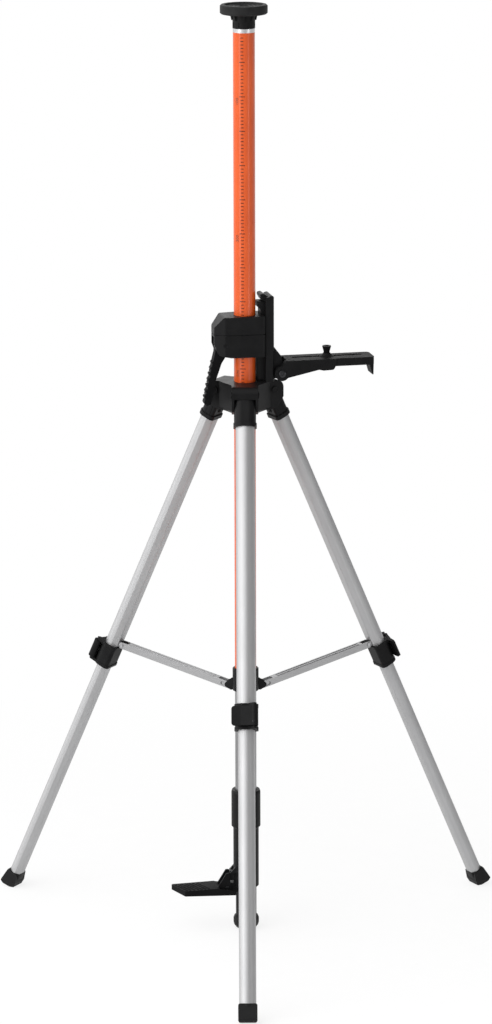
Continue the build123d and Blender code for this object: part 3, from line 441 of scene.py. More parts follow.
@dataclass(frozen=True)
class MouldedPlastic:
    """Black moulded plastic, fine spark-eroded grain, edges lighter as rubbed wear and painted highlight."""

    name: str
    base: Colour = cool(0.0046, 0.0049)
    haze: Colour = cool(0.0082, 0.0086)
    # Colour of the lighter edges: partly rubbed wear, partly a painted highlight.
    abraded_and_highlit_edge: Colour = cool(0.026, 0.027)
    roughness: Span = (0.40, 0.54)
    grain_scale: float = 1500.0
    grain_depth: float = 0.035
    grain_share: float = 0.30
    edge: float = 0.9
    sheen: float = 0.10
    cloud_scale: float = 38.0
    cloud_share: float = 0.6
    # Size and strength of the patches of lighter edges: partly rubbed wear, partly painted highlight.
    wear_scale: float = 160.0
    abrasion_and_highlight_most: float = 0.7

    def material(self) -> Material:
        """Build the plastic's material.

        Returns:
            The material.
        """
        graph = Graph(self.name)
        place = graph.place()
        cloud = graph.noise(place, self.cloud_scale, detail=5.0, roughness=0.6)
        grain = graph.noise(place, self.grain_scale, detail=2.0, roughness=0.6)
        rounded = graph.soft_edge(self.edge * MM)
        # Edges are painted lighter in patches, partly as rubbed wear and partly as a painted highlight.
        patches = graph.span(graph.noise(place, self.wear_scale, detail=4.0), 0.0, self.abrasion_and_highlight_most)
        abrasion_and_highlight_mask = graph.math("MULTIPLY", graph.edge_mask(rounded), patches)
        colour = graph.blend(abrasion_and_highlight_mask, graph.mottled(cloud, self.base, self.haze), self.abraded_and_highlit_edge)
        rough = graph.span(graph.weighted(cloud, grain, self.cloud_share), *self.roughness)
        relief = graph.bump(grain, self.grain_depth * MM, self.grain_share, rounded)
        return graph.finish(Base_Color=colour, Roughness=rough, Normal=relief, Specular_IOR_Level=self.sheen)


@dataclass(frozen=True)
class Rubber:
    """Matt black rubber with a dusty bloom, and edges lighter as rubbed wear and painted highlight."""

    name: str
    base: Colour = cool(0.0085, 0.0088)
    # Colour of the dust, and of the lighter edges, which are partly rubbed wear and partly a painted
    # highlight.
    dust_and_edge_highlight: Colour = cool(0.022, 0.0225)
    roughness: Span = (0.50, 0.68)
    edge: float = 0.8
    edge_share: float = 0.35
    dust_scale: float = 90.0
    dust_most: float = 0.75
    dust_span: Span = (0.35, 0.75)
    grain_scale: float = 2200.0
    grain_depth: float = 0.05
    grain_share: float = 0.25
    sheen: float = 0.14

    def material(self) -> Material:
        """Build the rubber's material.

        Returns:
            The material.
        """
        graph = Graph(self.name)
        place = graph.place()
        dust = graph.noise(place, self.dust_scale, detail=6.0, roughness=0.65)
        rounded = graph.soft_edge(self.edge * MM)
        # Edges are painted lighter: partly rubbed wear, partly a painted highlight.
        abraded_and_highlit_edge = graph.math("MULTIPLY", graph.edge_mask(rounded), self.edge_share)
        dusted = graph.span(dust, 0.0, self.dust_most, self.dust_span)
        colour = graph.blend(abraded_and_highlit_edge, graph.blend(dusted, self.base, self.dust_and_edge_highlight), self.dust_and_edge_highlight)
        grain = graph.noise(place, self.grain_scale, detail=2.0)
        relief = graph.bump(grain, self.grain_depth * MM, self.grain_share, rounded)
        return graph.finish(Base_Color=colour, Roughness=graph.span(dust, *self.roughness), Normal=relief,
                            Specular_IOR_Level=self.sheen)


@dataclass(frozen=True)
class PlatedSteel:
    """Zinc-plated or blued steel of the pins, rivets and screws."""

    name: str = "plated_pin_steel"
    bright: Colour = cool(0.52, 0.53)
    dull: Colour = cool(0.34, 0.35)
    roughness: Span = (0.26, 0.44)
    spangle_scale: float = 420.0
    spangle_depth: float = 0.02
    spangle_share: float = 0.3
    edge: float = 0.3

    def material(self) -> Material:
        """Build the steel's material.

        Returns:
            The material.
        """
        graph = Graph(self.name)
        spangle = graph.noise(graph.place(), self.spangle_scale, detail=4.0, roughness=0.6)
        colour = graph.mottled(spangle, self.bright, self.dull)
        rounded = graph.soft_edge(self.edge * MM)
        relief = graph.bump(spangle, self.spangle_depth * MM, self.spangle_share, rounded)
        return graph.finish(Base_Color=colour, Metallic=1.0, Roughness=graph.span(spangle, *self.roughness),
                            Normal=relief)


class Palette:
    """All the finishes, and where each goes on the carried-over solids."""

    def __init__(self) -> None:
        """Build every material once."""
        pole = Grain.POLE
        finishes = {
            Slot.PAINT: ScalePaint(),
            Slot.TUBE: DrawnMetal("bare_lower_tube", cool(0.32, 0.325), cool(0.24, 0.245), pole),
            Slot.RING: DrawnMetal("bare_mouth_ring", cool(0.60, 0.61), cool(0.50, 0.51), pole, (0.26, 0.38),
                                  edge=0.15),
            Slot.MAST: DrawnMetal("inner_mast", cool(0.66, 0.67), cool(0.57, 0.58), pole),
            Slot.PIN: PlatedSteel(),
            Slot.BLACK: MouldedPlastic("black_moulding"),
            Slot.HUB: MouldedPlastic("hub_moulding", roughness=(0.34, 0.48)),
            Slot.SLEEVE: MouldedPlastic("sleeve_moulding"),
            Slot.PEDAL: MouldedPlastic("pedal_moulding", roughness=(0.46, 0.62), grain_scale=1100.0,
                                       sheen=0.04),
            Slot.CARRIAGE: MouldedPlastic("carriage_moulding", roughness=(0.36, 0.50)),
            Slot.LEVER: MouldedPlastic("lever_moulding", roughness=(0.46, 0.60), sheen=0.04),
            Slot.ARM: MouldedPlastic("arm_moulding", roughness=(0.50, 0.64), sheen=0.09),
            Slot.KNOB: MouldedPlastic("knob_moulding", roughness=(0.30, 0.42), edge=0.4),
            Slot.LOCK: MouldedPlastic("lock_moulding"),
            Slot.INNER: MouldedPlastic("inner_guide_moulding", cool(0.05, 0.053), cool(0.07, 0.074),
                                       edge=0.4),
            Slot.PAD: Rubber("pad_rubber_skin"),
            Slot.FOOT: Rubber("foot_rubber_skin", cool(0.0065, 0.0068), cool(0.014, 0.0145), (0.46, 0.62)),
        }
        self.by_slot = {slot: finish.material() for slot, finish in finishes.items()}
        self.blued = PlatedSteel("blued_screw_steel", cool(0.055, 0.058), cool(0.030, 0.032)).material()
        self.legs: dict[str, Material] = {}
        self.braces: dict[str, Material] = {}
        for side in SIDES:
            grain = Grain[f"LEG_{side.upper()}"]
            leg = DrawnMetal(f"leg_metal_{side}", cool(0.44, 0.445), cool(0.385, 0.39), grain, (0.42, 0.54),
                             line=0.2, metallic=0.72)
            self.legs[side] = leg.material()
            grain = Grain[f"BRACE_{side.upper()}"]
            brace = DrawnMetal(f"brace_metal_{side}", cool(0.40, 0.405), cool(0.33, 0.335), grain)
            self.braces[side] = brace.material()

    def of(self, slot: Slot, side: str = "") -> Material:
        """Material of a slot.

        Args:
            slot: Slot of the record.
            side: Leg that the piece is on, where the metal's lines follow it.

        Returns:
            The material.
        """
        if slot is Slot.LEG:
            return self.legs[side]
        if slot is Slot.BRACE:
            return self.braces[side]
        return self.by_slot[slot]

    def dress_solids(self) -> None:
        """Give every carried-over solid its finish."""
        slots = {row["node"]: Slot(row["material_slot"]) for row in frame["record"]["subparts"]}
        for name, node in frame["nodes"].items():
            side = name.rsplit("_", 1)[-1]
            hidden = slots[name] is Slot.PIN and not name.startswith("brace_rivet")
            material = self.blued if hidden else self.of(slots[name], side)
            if not node.data.materials:
                node.data.materials.append(material)
            for index in range(len(node.material_slots)):
                node.material_slots[index].material = material
        log.info("dressed %d solids", len(frame["nodes"]))


class Place:
    """Places in the part's own frames, given in millimetres."""

    @staticmethod
    def at(x: float, y: float, z: float) -> Matrix:
        """Frame moved by a distance on each axis."""
        return Matrix.Translation((x * MM, y * MM, z * MM))

    @staticmethod
    def turn(azimuth: float) -> Matrix:
        """Frame turned about the pole, in degrees."""
        return Matrix.Rotation(math.radians(azimuth), 4, "Z")

    @staticmethod
    def plane(side: str) -> Matrix:
        """Upright frame through a leg, with +X outward."""
        return Place.turn(LEG_AZIMUTH[side])

    @staticmethod
    def leg(side: str) -> Matrix:
        """Frame of a leg: origin on its pivot, -Z down the leg, +X outward."""
        rho, z = LEG_PIVOT
        return Place.plane(side) @ Place.at(rho, 0.0, z) @ Matrix.Rotation(-math.radians(LEG_TILT), 4, "Y")

    @staticmethod
    def basis(x: Vector, y: Vector, z: Vector) -> Matrix:
        """Frame turned so that its axes run along three directions."""
        return Matrix((x, y, z)).transposed().to_4x4()

    @staticmethod
    def facing(spot: Sequence[float], outward: Sequence[float]) -> Matrix:
        """Place of a piece that stands on a surface.

        Args:
            spot: Foot of the piece, in millimetres.
            outward: Direction that the surface faces.

        Returns:
            The place, with local Z along the direction.
        """
        return Place.at(*spot) @ Vector(outward).to_track_quat("Z", "Y").to_matrix().to_4x4()


class Bench:
    """Modelling steps shared by the sub-assemblies, done with operators as by hand."""

    NEAR = 1e-6
    NEARLY = 0.99
    UPWARD = 0.9
    DISH_SLANT = 0.7
    FEW_STEPS = 3
    STEPS = 4

    @staticmethod
    def clear() -> None:
        """Leave edit mode and deselect everything."""
        if bpy.context.object and bpy.context.object.mode != "OBJECT":
            bpy.ops.object.mode_set(mode="OBJECT")
        bpy.ops.object.select_all(action="DESELECT")

    @staticmethod
    def focus(obj: Piece) -> None:
        """Make one object the only selected and the active one.

        Args:
            obj: The object.
        """
        Bench.clear()
        obj.select_set(True)
        bpy.context.view_layer.objects.active = obj

    @staticmethod
    def settle(obj: Piece, place: Matrix | None = None) -> Piece:
        """Apply an object's place to its mesh.

        Args:
            obj: The object.
            place: Place to give it first.

        Returns:
            The object.
        """
        if place is not None:
            obj.matrix_world = place
        Bench.focus(obj)
        bpy.ops.object.transform_apply(location=True, rotation=True, scale=True)
        return obj

    @staticmethod
    def round_bar(radius: float, height: float, corners: int = 32) -> Piece:
        """Short upright bar standing on the ground plane, as the start of a turned piece.

        Args:
            radius: Radius of the bar, in metres.
            height: Height of the bar.
            corners: Sides of the bar.

        Returns:
            The bar.
        """
        Bench.clear()
        bpy.ops.mesh.primitive_cylinder_add(vertices=corners, radius=radius, depth=height,
                                            location=(0.0, 0.0, height / 2))
        return Bench.settle(bpy.context.object)

    @staticmethod
    def bar(length: float, width: float, height: float) -> Piece:
        """Square bar centred on the origin, as the start of a rib or web.

        Args:
            length: Size along X, in millimetres.
            width: Size along Y.
            height: Size along Z.

        Returns:
            The bar.
        """
        Bench.clear()
        bpy.ops.mesh.primitive_cube_add(size=1.0)
        bar = bpy.context.object
        bar.scale = (length * MM, width * MM, height * MM)
        return Bench.settle(bar)

    @staticmethod
    def open_all(obj: Piece) -> None:
        """Open a piece in edit mode with its whole mesh selected.

        Args:
            obj: The piece.
        """
        Bench.focus(obj)
        bpy.ops.object.mode_set(mode="EDIT")
        bpy.ops.mesh.select_all(action="SELECT")

    @staticmethod
    def unpick(obj: Piece, kind: str) -> None:
        """Deselect a piece's whole mesh, ready to select faces or edges.

        Args:
            obj: The piece.
            kind: FACE or EDGE.
        """
        Bench.focus(obj)
        bpy.ops.object.mode_set(mode="EDIT")
        bpy.ops.mesh.select_mode(type=kind)
        bpy.ops.mesh.select_all(action="DESELECT")
        bpy.ops.object.mode_set(mode="OBJECT")

    @staticmethod
    def pick_faces(obj: Piece, wanted: Callable[[bpy.types.MeshPolygon], bool]) -> None:
        """Open a piece in edit mode with some faces selected.

        Args:
            obj: The piece.
            wanted: Test of one face.
        """
        Bench.unpick(obj, "FACE")
        for face in obj.data.polygons:
            face.select = wanted(face)
        bpy.ops.object.mode_set(mode="EDIT")

    @staticmethod
    def pick_edges(obj: Piece, wanted: Callable[[Vector, Vector], bool]) -> None:
        """Open a piece in edit mode with some edges selected.

        Args:
            obj: The piece.
            wanted: Test of an edge's two ends.
        """
        Bench.unpick(obj, "EDGE")
        corners = obj.data.vertices
        for edge in obj.data.edges:
            first, second = edge.vertices
            edge.select = wanted(corners[first].co, corners[second].co)
        bpy.ops.object.mode_set(mode="EDIT")

    @staticmethod
    def bevel(obj: Piece, wanted: Callable[[Vector, Vector], bool], amount: float, segments: int) -> None:
        """Round some edges of a piece.

        Args:
            obj: The piece.
            wanted: Test of an edge's two ends.
            amount: Width of the rounding, in metres.
            segments: Steps of the rounding.
        """
        Bench.pick_edges(obj, wanted)
        bpy.ops.mesh.bevel(offset=amount, segments=segments, affect="EDGES")
        Bench.clear()

    @staticmethod
    def round_top(obj: Piece, amount: float, segments: int = STEPS) -> None:
        """Round the edges round a piece's highest face.

        Args:
            obj: The piece.
            amount: Width of the rounding, in metres.
            segments: Steps of the rounding.
        """
        level = max(corner.co.z for corner in obj.data.vertices) - (1.0 - Bench.NEARLY) * amount
        Bench.bevel(obj, lambda a, b: min(a.z, b.z) > level, amount, segments)

    @staticmethod
    def dish(obj: Piece, rim: float, depth: float) -> None:
        """Sink the middle of a piece's highest face.

        Args:
            obj: The piece.
            rim: Width of the rim that stays.
            depth: How far the middle sinks.
        """
        level = max(corner.co.z for corner in obj.data.vertices) - Bench.NEAR
        Bench.pick_faces(obj, lambda face: face.center.z > level and face.normal.z > Bench.UPWARD)
        bpy.ops.mesh.inset(thickness=rim, depth=0.0)
        bpy.ops.mesh.inset(thickness=depth * Bench.DISH_SLANT, depth=-depth)
        Bench.clear()

    @staticmethod
    def cut(obj: Piece, tool: Piece) -> None:
        """Cut one solid out of another and throw the tool away.

        Args:
            obj: The piece that stays.
            tool: The solid that is cut out.
        """
        Bench.focus(obj)
        modifier = obj.modifiers.new("cut", "BOOLEAN")
        modifier.operation = "DIFFERENCE"
        modifier.object = tool
        bpy.ops.object.modifier_apply(modifier=modifier.name)
        Bench.discard(tool)

    @staticmethod
    def discard(*patterns: Piece) -> None:
        """Throw away patterns and tools that are no longer needed."""
        for pattern in patterns:
            bpy.data.objects.remove(pattern)

    @staticmethod
    def copy_to(pattern: Piece, place: Matrix) -> Piece:
        """Copy a pattern, with a mesh of its own, to a place.

        Args:
            pattern: The piece to copy.
            place: Where the copy's origin and axes go.

        Returns:
            The copy, with its place in its mesh.
        """
        Bench.focus(pattern)
        bpy.ops.object.duplicate(linked=False)
        return Bench.settle(bpy.context.object, place)

    @staticmethod
    def join(pieces: Sequence[Piece]) -> Piece:
        """Join pieces of one moulding.

        Args:
            pieces: The pieces.

        Returns:
            The joined piece.
        """
        Bench.clear()
        for piece in pieces:
            piece.select_set(True)
        bpy.context.view_layer.objects.active = pieces[0]
        bpy.ops.object.join()
        return bpy.context.object

    @staticmethod
    def row(pattern: Piece, places: Iterable[Matrix]) -> Piece:
        """Copy a pattern to several places as one moulding, and throw the pattern away.

        Args:
            pattern: The piece to copy.
            places: Where the copies go.

        Returns:
            The joined copies.
        """
        copies = [Bench.copy_to(pattern, place) for place in places]
        Bench.discard(pattern)
        return Bench.join(copies)


@dataclass
class SubAssembly:
    """Group of new pieces that takes its finishes from the palette."""

    palette: Palette

    def dress(self, obj: Piece, name: str, body: str, slot: Slot, side: str = "", angle: float = SHARP_EDGE,
              material: Material | None = None) -> None:
        """Name, smooth, paint and ride a finished piece.

        Args:
            obj: The piece, with its place in its mesh.
            name: Its name.
            body: Body that it moves with.
            slot: Slot of the record that it takes its finish from.
            side: Leg that it is on, where its metal's lines follow the leg.
            angle: Edges sharper than this stay sharp, in degrees.
            material: Its material, where it isn't the slot's usual one.
        """
        Bench.focus(obj)
        obj.name = name
        obj.data.name = name
        bpy.ops.object.shade_smooth_by_angle(angle=math.radians(angle))
        obj.data.materials.clear()
        obj.data.materials.append(material or self.palette.of(slot, side))
        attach(obj, body)
        log.info("piece %s rides on %s, %d faces", name, body, len(obj.data.polygons))


@dataclass(frozen=True)
class ButtonScrew:
    """Round-headed screw with a hexagonal socket, standing on its seat (millimetres)."""

    radius: float
    height: float
    socket: float
    depth: float
    crown: float = 0.55
    flats: int = 6

    def model(self) -> Piece:
        """Model the head once, at the origin.

        Returns:
            The head.
        """
        head = Bench.round_bar(self.radius * MM, self.height * MM)
        Bench.round_top(head, self.crown * self.height * MM)
        tool = Bench.round_bar(self.socket * MM, self.height * MM, self.flats)
        Bench.cut(head, Bench.settle(tool, Place.at(0.0, 0.0, self.height - self.depth)))
        return head


@dataclass(frozen=True)
class PlugCap:
    """Moulded plug that covers a pin, with a dished middle (millimetres)."""

    radius: float
    height: float
    rim: float
    depth: float
    ease: float = 0.3

    def model(self) -> Piece:
        """Model the plug once, at the origin.

        Returns:
            The plug.
        """
        plug = Bench.round_bar(self.radius * MM, self.height * MM)
        Bench.dish(plug, self.rim * MM, self.depth * MM)
        edge = Bench.NEARLY * self.radius * MM
        top = Bench.NEARLY * self.height * MM

        def outer(a: Vector, b: Vector) -> bool:
            """Tell whether an edge lies on the outer rim."""
            return min(a.z, b.z) > top and min(a.xy.length, b.xy.length) > edge

        Bench.bevel(plug, outer, self.ease * self.rim * MM, Bench.FEW_STEPS)
        return plug


@dataclass
class HubHardware(SubAssembly):
    """Caps on the leg pivots and the screw that clamps the hub on the pole (millimetres)."""

    cheek: float = 19.4
    flat: float = 33.0
    clamp_z: float = 821.0
    cap: PlugCap = PlugCap(5.2, 1.5, 1.1, 0.5)
    screw: ButtonScrew = ButtonScrew(4.6, 2.6, 2.3, 1.5)

    def build(self) -> None:
        """Model the caps and the clamp screw."""
        pattern = self.cap.model()
        rho, z = LEG_PIVOT
        for side in SIDES:
            for number, way in enumerate(BOTH_WAYS, 1):
                spot = Place.facing((rho, way * self.cheek, z), (0.0, way, 0.0))
                cap = Bench.copy_to(pattern, Place.plane(side) @ spot)
                self.dress(cap, f"leg_pivot_cap_{side}_{number}", "stand", Slot.HUB)
        Bench.discard(pattern)
        spot = Place.facing((0.0, self.flat, self.clamp_z), (0.0, 1.0, 0.0))
        self.dress(Bench.settle(self.screw.model(), spot), "hub_clamp_screw", "stand", Slot.PIN)


@dataclass
class LegHardware(SubAssembly):
    """Small hardware of the three legs: socket plugs and lock tension screws (millimetres)."""

    socket_face: float = -11.8
    socket_s: float = 33.5
    lock_face: float = 24.5
    lock_across: float = 10.2
    lock_s: float = 482.6
    plug: PlugCap = PlugCap(3.4, 1.1, 0.9, 0.8)
    screw: ButtonScrew = ButtonScrew(1.9, 0.9, 1.0, 0.6)

    def build(self) -> None:
        """Model the hardware of each leg."""
        plug, screw = self.plug.model(), self.screw.model()
        inward = Place.facing((self.socket_face, 0.0, -self.socket_s), (-1.0, 0.0, 0.0))
        outward = Place.facing((self.lock_face, self.lock_across, -self.lock_s), (1.0, 0.0, 0.0))
        for side in SIDES:
            made = Bench.copy_to(plug, Place.leg(side) @ inward)
            self.dress(made, f"socket_plug_{side}", f"leg_{side}", Slot.HUB)
            made = Bench.copy_to(screw, Place.leg(side) @ outward)
            self.dress(made, f"lock_tension_screw_{side}", f"lock_{side}", Slot.PIN,
                       material=self.palette.blued)
        Bench.discard(plug, screw)


@dataclass
class CarriageHardware(SubAssembly):
    """Plugs over the lever's pin, screws behind the clamp block and the arm's pivot heads (millimetres)."""

    lever_face: float = 19.9
    back: float = 24.0
    screw_spots: tuple[tuple[float, float], ...] = ((15.0, 893.0), (15.0, 931.0), (-7.0, 931.0))
    arm_pivot: tuple[float, float] = (51.5, 855.03)
    arm_side: float = 22.3
    plug: PlugCap = PlugCap(2.4, 0.9, 0.6, 0.3)
    screw: ButtonScrew = ButtonScrew(3.3, 1.7, 1.7, 1.0)
    head: ButtonScrew = ButtonScrew(5.4, 1.9, 2.4, 1.3)

    @staticmethod
    def spot(x: float, z: float, y: float) -> Matrix:
        """Place on a side face of the carriage, facing away from its middle plane."""
        return Place.turn(ARM_TURN) @ Place.facing((x, y, z), (0.0, math.copysign(1.0, y), 0.0))

    def build(self) -> None:
        """Model the hardware of the carriage and its arm."""
        blued = self.palette.blued
        plug, screw, head = self.plug.model(), self.screw.model(), self.head.model()
        for number, way in enumerate(reversed(BOTH_WAYS), 1):
            made = Bench.copy_to(plug, self.spot(*LEVER_PIVOT, way * self.lever_face))
            self.dress(made, f"lever_pin_plug_{number}", "carriage", Slot.CARRIAGE)
            made = Bench.copy_to(head, self.spot(*self.arm_pivot, way * self.arm_side))
            self.dress(made, f"arm_pivot_head_{number}", "arm", Slot.PIN, material=blued)
        for number, (x, z) in enumerate(self.screw_spots, 1):
            made = Bench.copy_to(screw, self.spot(x, z, self.back))
            self.dress(made, f"carriage_screw_{number}", "carriage", Slot.PIN, material=blued)
        Bench.discard(plug, screw, head)


@dataclass
class RailLiner(SubAssembly):
    """Liner between the pole and the rail's web under the clamp block (millimetres from the pole's axis)."""

    half: float = 9.4
    ease: float = 0.4
    rows: tuple[tuple[float, float, float, float], ...] = (
        (16.4, 17.7, 843.4, 881.9), (16.4, 27.4, 843.4, 848.4))

    def bar(self, near: float, far: float, foot: float, top: float) -> Piece:
        """Model one bar of the liner.

        Args:
            near: Inner face.
            far: Outer face.
            foot: Height of its foot.
            top: Height of its top.

        Returns:
            The bar, in place.
        """
        bar = Bench.bar(far - near, 2.0 * self.half, top - foot)
        Bench.bevel(bar, lambda a, b: max(a.z, b.z) < 0.0, self.ease * MM, Bench.FEW_STEPS)
        return Bench.settle(bar, Place.turn(ARM_TURN) @ Place.at((near + far) / 2, 0.0, (foot + top) / 2))

    def build(self) -> None:
        """Model the bars as one moulding."""
        made = Bench.join([self.bar(*row) for row in self.rows])
        self.dress(made, "rail_web_liner", "carriage", Slot.CARRIAGE)


@dataclass
class PedalGrip(SubAssembly):
    """Grip ribs across the pedal's sloping tread, parallel to its slanted end (millimetres)."""

    tread_root: float = 47.0
    tread_end: float = 113.4
    top: float = 68.75
    fall: float = 4.0
    before_root: float = 2.0
    half: float = 20.0
    skew: float = 20.5
    margin: float = 3.2
    first: float = 98.4
    pitch: float = 5.6
    count: int = 7
    width: float = 1.7
    proud: float = 0.7
    ease: float = 0.6

    def rib(self) -> Piece:
        """Model one rib along Y, half sunk below the ground plane.

        Returns:
            The rib.
        """
        length = math.hypot(2.0 * self.half, self.skew) * (1.0 - self.margin / self.half)
        rib = Bench.bar(self.width, length, 2.0 * self.proud)
        Bench.round_top(rib, self.ease * self.proud * MM, Bench.FEW_STEPS)
        return rib

    def build(self) -> None:
        """Model the ribs of the tread as one moulding."""
        slope = self.fall / (self.tread_end - self.tread_root + 2.0 * self.before_root)
        outward = Vector((1.0, 0.0, -slope)).normalized()
        along = Vector((-self.skew, 2.0 * self.half, self.skew * slope)).normalized()
        upward = outward.cross(along).normalized()
        turned = Place.basis(along.cross(upward), along, upward)
        places = []
        for number in range(self.count):
            u = self.first - self.pitch * number
            z = self.top - slope * (u - self.tread_root + self.before_root)
            places.append(Place.turn(PEDAL_TURN) @ Place.at(u, 0.0, z) @ turned)
        self.dress(Bench.row(self.rib(), places), "pedal_grip_ribs", "tread", Slot.PEDAL)


@dataclass(frozen=True)
class TubeForm:
    """Drawn tube: half-round outside, slanted sides and a narrow inner face (millimetres)."""

    radius: float
    apex: float
    inner: float
    straight: float = 1.1
    ease: float = 0.9
    wall: float = 1.3
    arc_steps: int = 30
    inner_share: float = 0.6
    corner_share: float = 0.2

    def profile(self, inset: float) -> list[tuple[float, float]]:
        """Outline of a tube, counterclockwise, with x outward from the leg's axis.

        Args:
            inset: How far the tube lies inside the full form.

        Returns:
            The points, in millimetres.
        """
        radius, apex = self.radius - inset, self.apex - inset
        centre, inner = apex - radius, self.inner - self.inner_share * inset
        shoulder = centre - self.straight
        side = Vector((shoulder + apex, radius - inner)).normalized() * self.ease
        nip = self.corner_share * self.ease
        corner = [(-apex, inner - self.ease), (-apex + nip, inner - nip), (-apex + side.x, inner + side.y)]
        steps = [math.pi * (number / self.arc_steps - 0.5) for number in range(self.arc_steps + 1)]
        arc = [(centre + radius * math.cos(angle), radius * math.sin(angle)) for angle in steps]
        low = [(x, -y) for x, y in corner]
        return [*low, (shoulder, -radius), *arc, (shoulder, radius), *reversed(corner)]

    def tube(self, inset: float, span: Span) -> Piece:
        """Model one tube down its leg's axis, open at both ends.

        Args:
            inset: How far the tube lies inside the full form.
            span: Distances of its ends from the leg's pivot.

        Returns:
            The tube, in the leg's own frame.
        """
        points = self.profile(inset)
        start, end = span
        Bench.clear()
        bpy.ops.mesh.primitive_circle_add(vertices=len(points), radius=self.radius * MM, fill_type="NOTHING")
        tube = Bench.settle(bpy.context.object)
        for vertex, (x, y) in zip(tube.data.vertices, points):
            vertex.co = (x * MM, y * MM, -end * MM)
        Bench.open_all(tube)
        rise = (0.0, 0.0, (end - start) * MM)
        bpy.ops.mesh.extrude_region_move(TRANSFORM_OT_translate={"value": rise})
        bpy.ops.mesh.select_all(action="SELECT")
        bpy.ops.mesh.normals_make_consistent(inside=False)
        bpy.ops.object.mode_set(mode="OBJECT")
        modifier = tube.modifiers.new("wall", "SOLIDIFY")
        modifier.thickness = self.wall * MM
        modifier.offset = -1.0
        bpy.ops.object.modifier_apply(modifier=modifier.name)
        return tube


@dataclass
class LegTubes(SubAssembly):
    """Drawn tubes of the legs, the guides between them and the bands in their shoes (millimetres)."""

    form: TubeForm = TubeForm(14.0, 11.7, 8.1)
    upper: Span = (25.0, 480.0)
    nested: float = 1.8
    lower: Span = (392.0, 899.0)
    guide_inset: float = 1.45
    guide: Span = (382.0, 391.9)
    band_inset: float = 1.25
    band: Span = (884.7, 897.0)

    def build(self) -> None:
        """Model each tube once and put it on the three legs."""
        rows = (("upper_leg", "leg", Slot.LEG, 0.0, self.upper),
                ("lower_leg", "shin", Slot.LEG, self.nested, self.lower),
                ("leg_guide", "shin", Slot.INNER, self.guide_inset, self.guide))
        for node, body, slot, inset, span in rows:
            pattern = self.form.tube(inset, span)
            for side in SIDES:
                made = Bench.copy_to(pattern, Place.leg(side))
                self.dress(made, f"{node}_drawn_{side}", f"{body}_{side}", slot, side, TUBE_EDGE)
                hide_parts(f"{node}_{side}")
            Bench.discard(pattern)
        pattern = self.form.tube(self.band_inset, self.band)
        for side in SIDES:
            made = Bench.copy_to(pattern, Place.leg(side))
            self.dress(made, f"leg_shoe_band_{side}", f"shin_{side}", Slot.FOOT, side, TUBE_EDGE)
        Bench.discard(pattern)


@dataclass
class SocketShells(SubAssembly):
    """Rounded shells round the legs' sockets, above their lips (millimetres down the leg)."""

    form: TubeForm = TubeForm(16.1, 11.6, 9.0)
    span: Span = (9.0, 41.4)

    def build(self) -> None:
        """Model the shell once and put it on each leg."""
        pattern = self.form.tube(0.0, self.span)
        for side in SIDES:
            made = Bench.copy_to(pattern, Place.leg(side))
            self.dress(made, f"leg_socket_shell_{side}", f"leg_{side}", Slot.HUB, side, TUBE_EDGE)
        Bench.discard(pattern)


@dataclass
class BraceCheeks(SubAssembly):
    """Cheeks of the sliding hub that the braces' inner ends swing between (millimetres)."""

    inner: float = 6.55
    thickness: float = 1.4
    ease: float = 0.5
    corners: int = 28
    flatness: float = 1.0
    rounds: tuple[tuple[float, float, float], ...] = (
        (21.0, 384.0, 4.8), (21.0, 376.0, 4.4), (28.0, 378.4, 3.9))

    def cheek(self, way: float) -> Piece:
        """Model one cheek as a plate stretched round three discs.

        Args:
            way: Side of the brace that it stands on, 1 or -1.

        Returns:
            The cheek, in its brace's upright plane.
        """
        discs = []
        for rho, z, radius in self.rounds:
            disc = Bench.round_bar(radius * MM, self.thickness * MM, self.corners)
            discs.append(Bench.settle(disc, Place.at(rho, -way * z, 0.0)))
        plate = Bench.join(discs)
        Bench.open_all(plate)
        bpy.ops.mesh.convex_hull()
        bpy.ops.mesh.select_all(action="SELECT")
        bpy.ops.mesh.dissolve_limited(angle_limit=math.radians(self.flatness))
        bpy.ops.object.mode_set(mode="OBJECT")
        Bench.round_top(plate, self.ease * MM, Bench.FEW_STEPS)
        stand = Matrix.Rotation(-way * math.pi / 2, 4, "X")
        return Bench.settle(plate, Place.at(0.0, way * self.inner, 0.0) @ stand)

    def build(self) -> None:
        """Model the cheeks of the three braces."""
        for number, way in enumerate(BOTH_WAYS, 1):
            pattern = self.cheek(way)
            for side in SIDES:
                made = Bench.copy_to(pattern, Place.plane(side))
                self.dress(made, f"brace_cheek_{side}_{number}", "brace_ring", Slot.BLACK)
            Bench.discard(pattern)


@dataclass
class BraceLiners(SubAssembly):
    """Thin liners inside the braces' walls, behind the slots of their inner ends (millimetres)."""

    pin: tuple[float, float] = (27.6, 377.73)
    far: tuple[float, float] = (213.09, 414.03)
    across: float = 4.63
    start: float = 4.8
    length: float = 9.6
    height: float = 7.6
    thickness: float = 0.2
    corner: float = 1.5

    def build(self) -> None:
        """Model the liner once and put one on each wall of each brace."""
        pattern = Bench.bar(self.length, self.thickness, self.height)
        through = 0.5 * self.thickness * MM
        Bench.bevel(pattern, lambda a, b: abs(a.y - b.y) > through, self.corner * MM, Bench.STEPS)
        rise = math.atan2(self.far[1] - self.pin[1], self.far[0] - self.pin[0])
        brace = Place.at(self.pin[0], 0.0, self.pin[1]) @ Matrix.Rotation(-rise, 4, "Y")
        for side in SIDES:
            for number, way in enumerate(BOTH_WAYS, 1):
                spot = Place.at(self.start + self.length / 2, way * self.across, 0.0)
                made = Bench.copy_to(pattern, Place.plane(side) @ brace @ spot)
                self.dress(made, f"brace_slot_liner_{side}_{number}", f"strut_{side}", Slot.BRACE, side)
        Bench.discard(pattern)


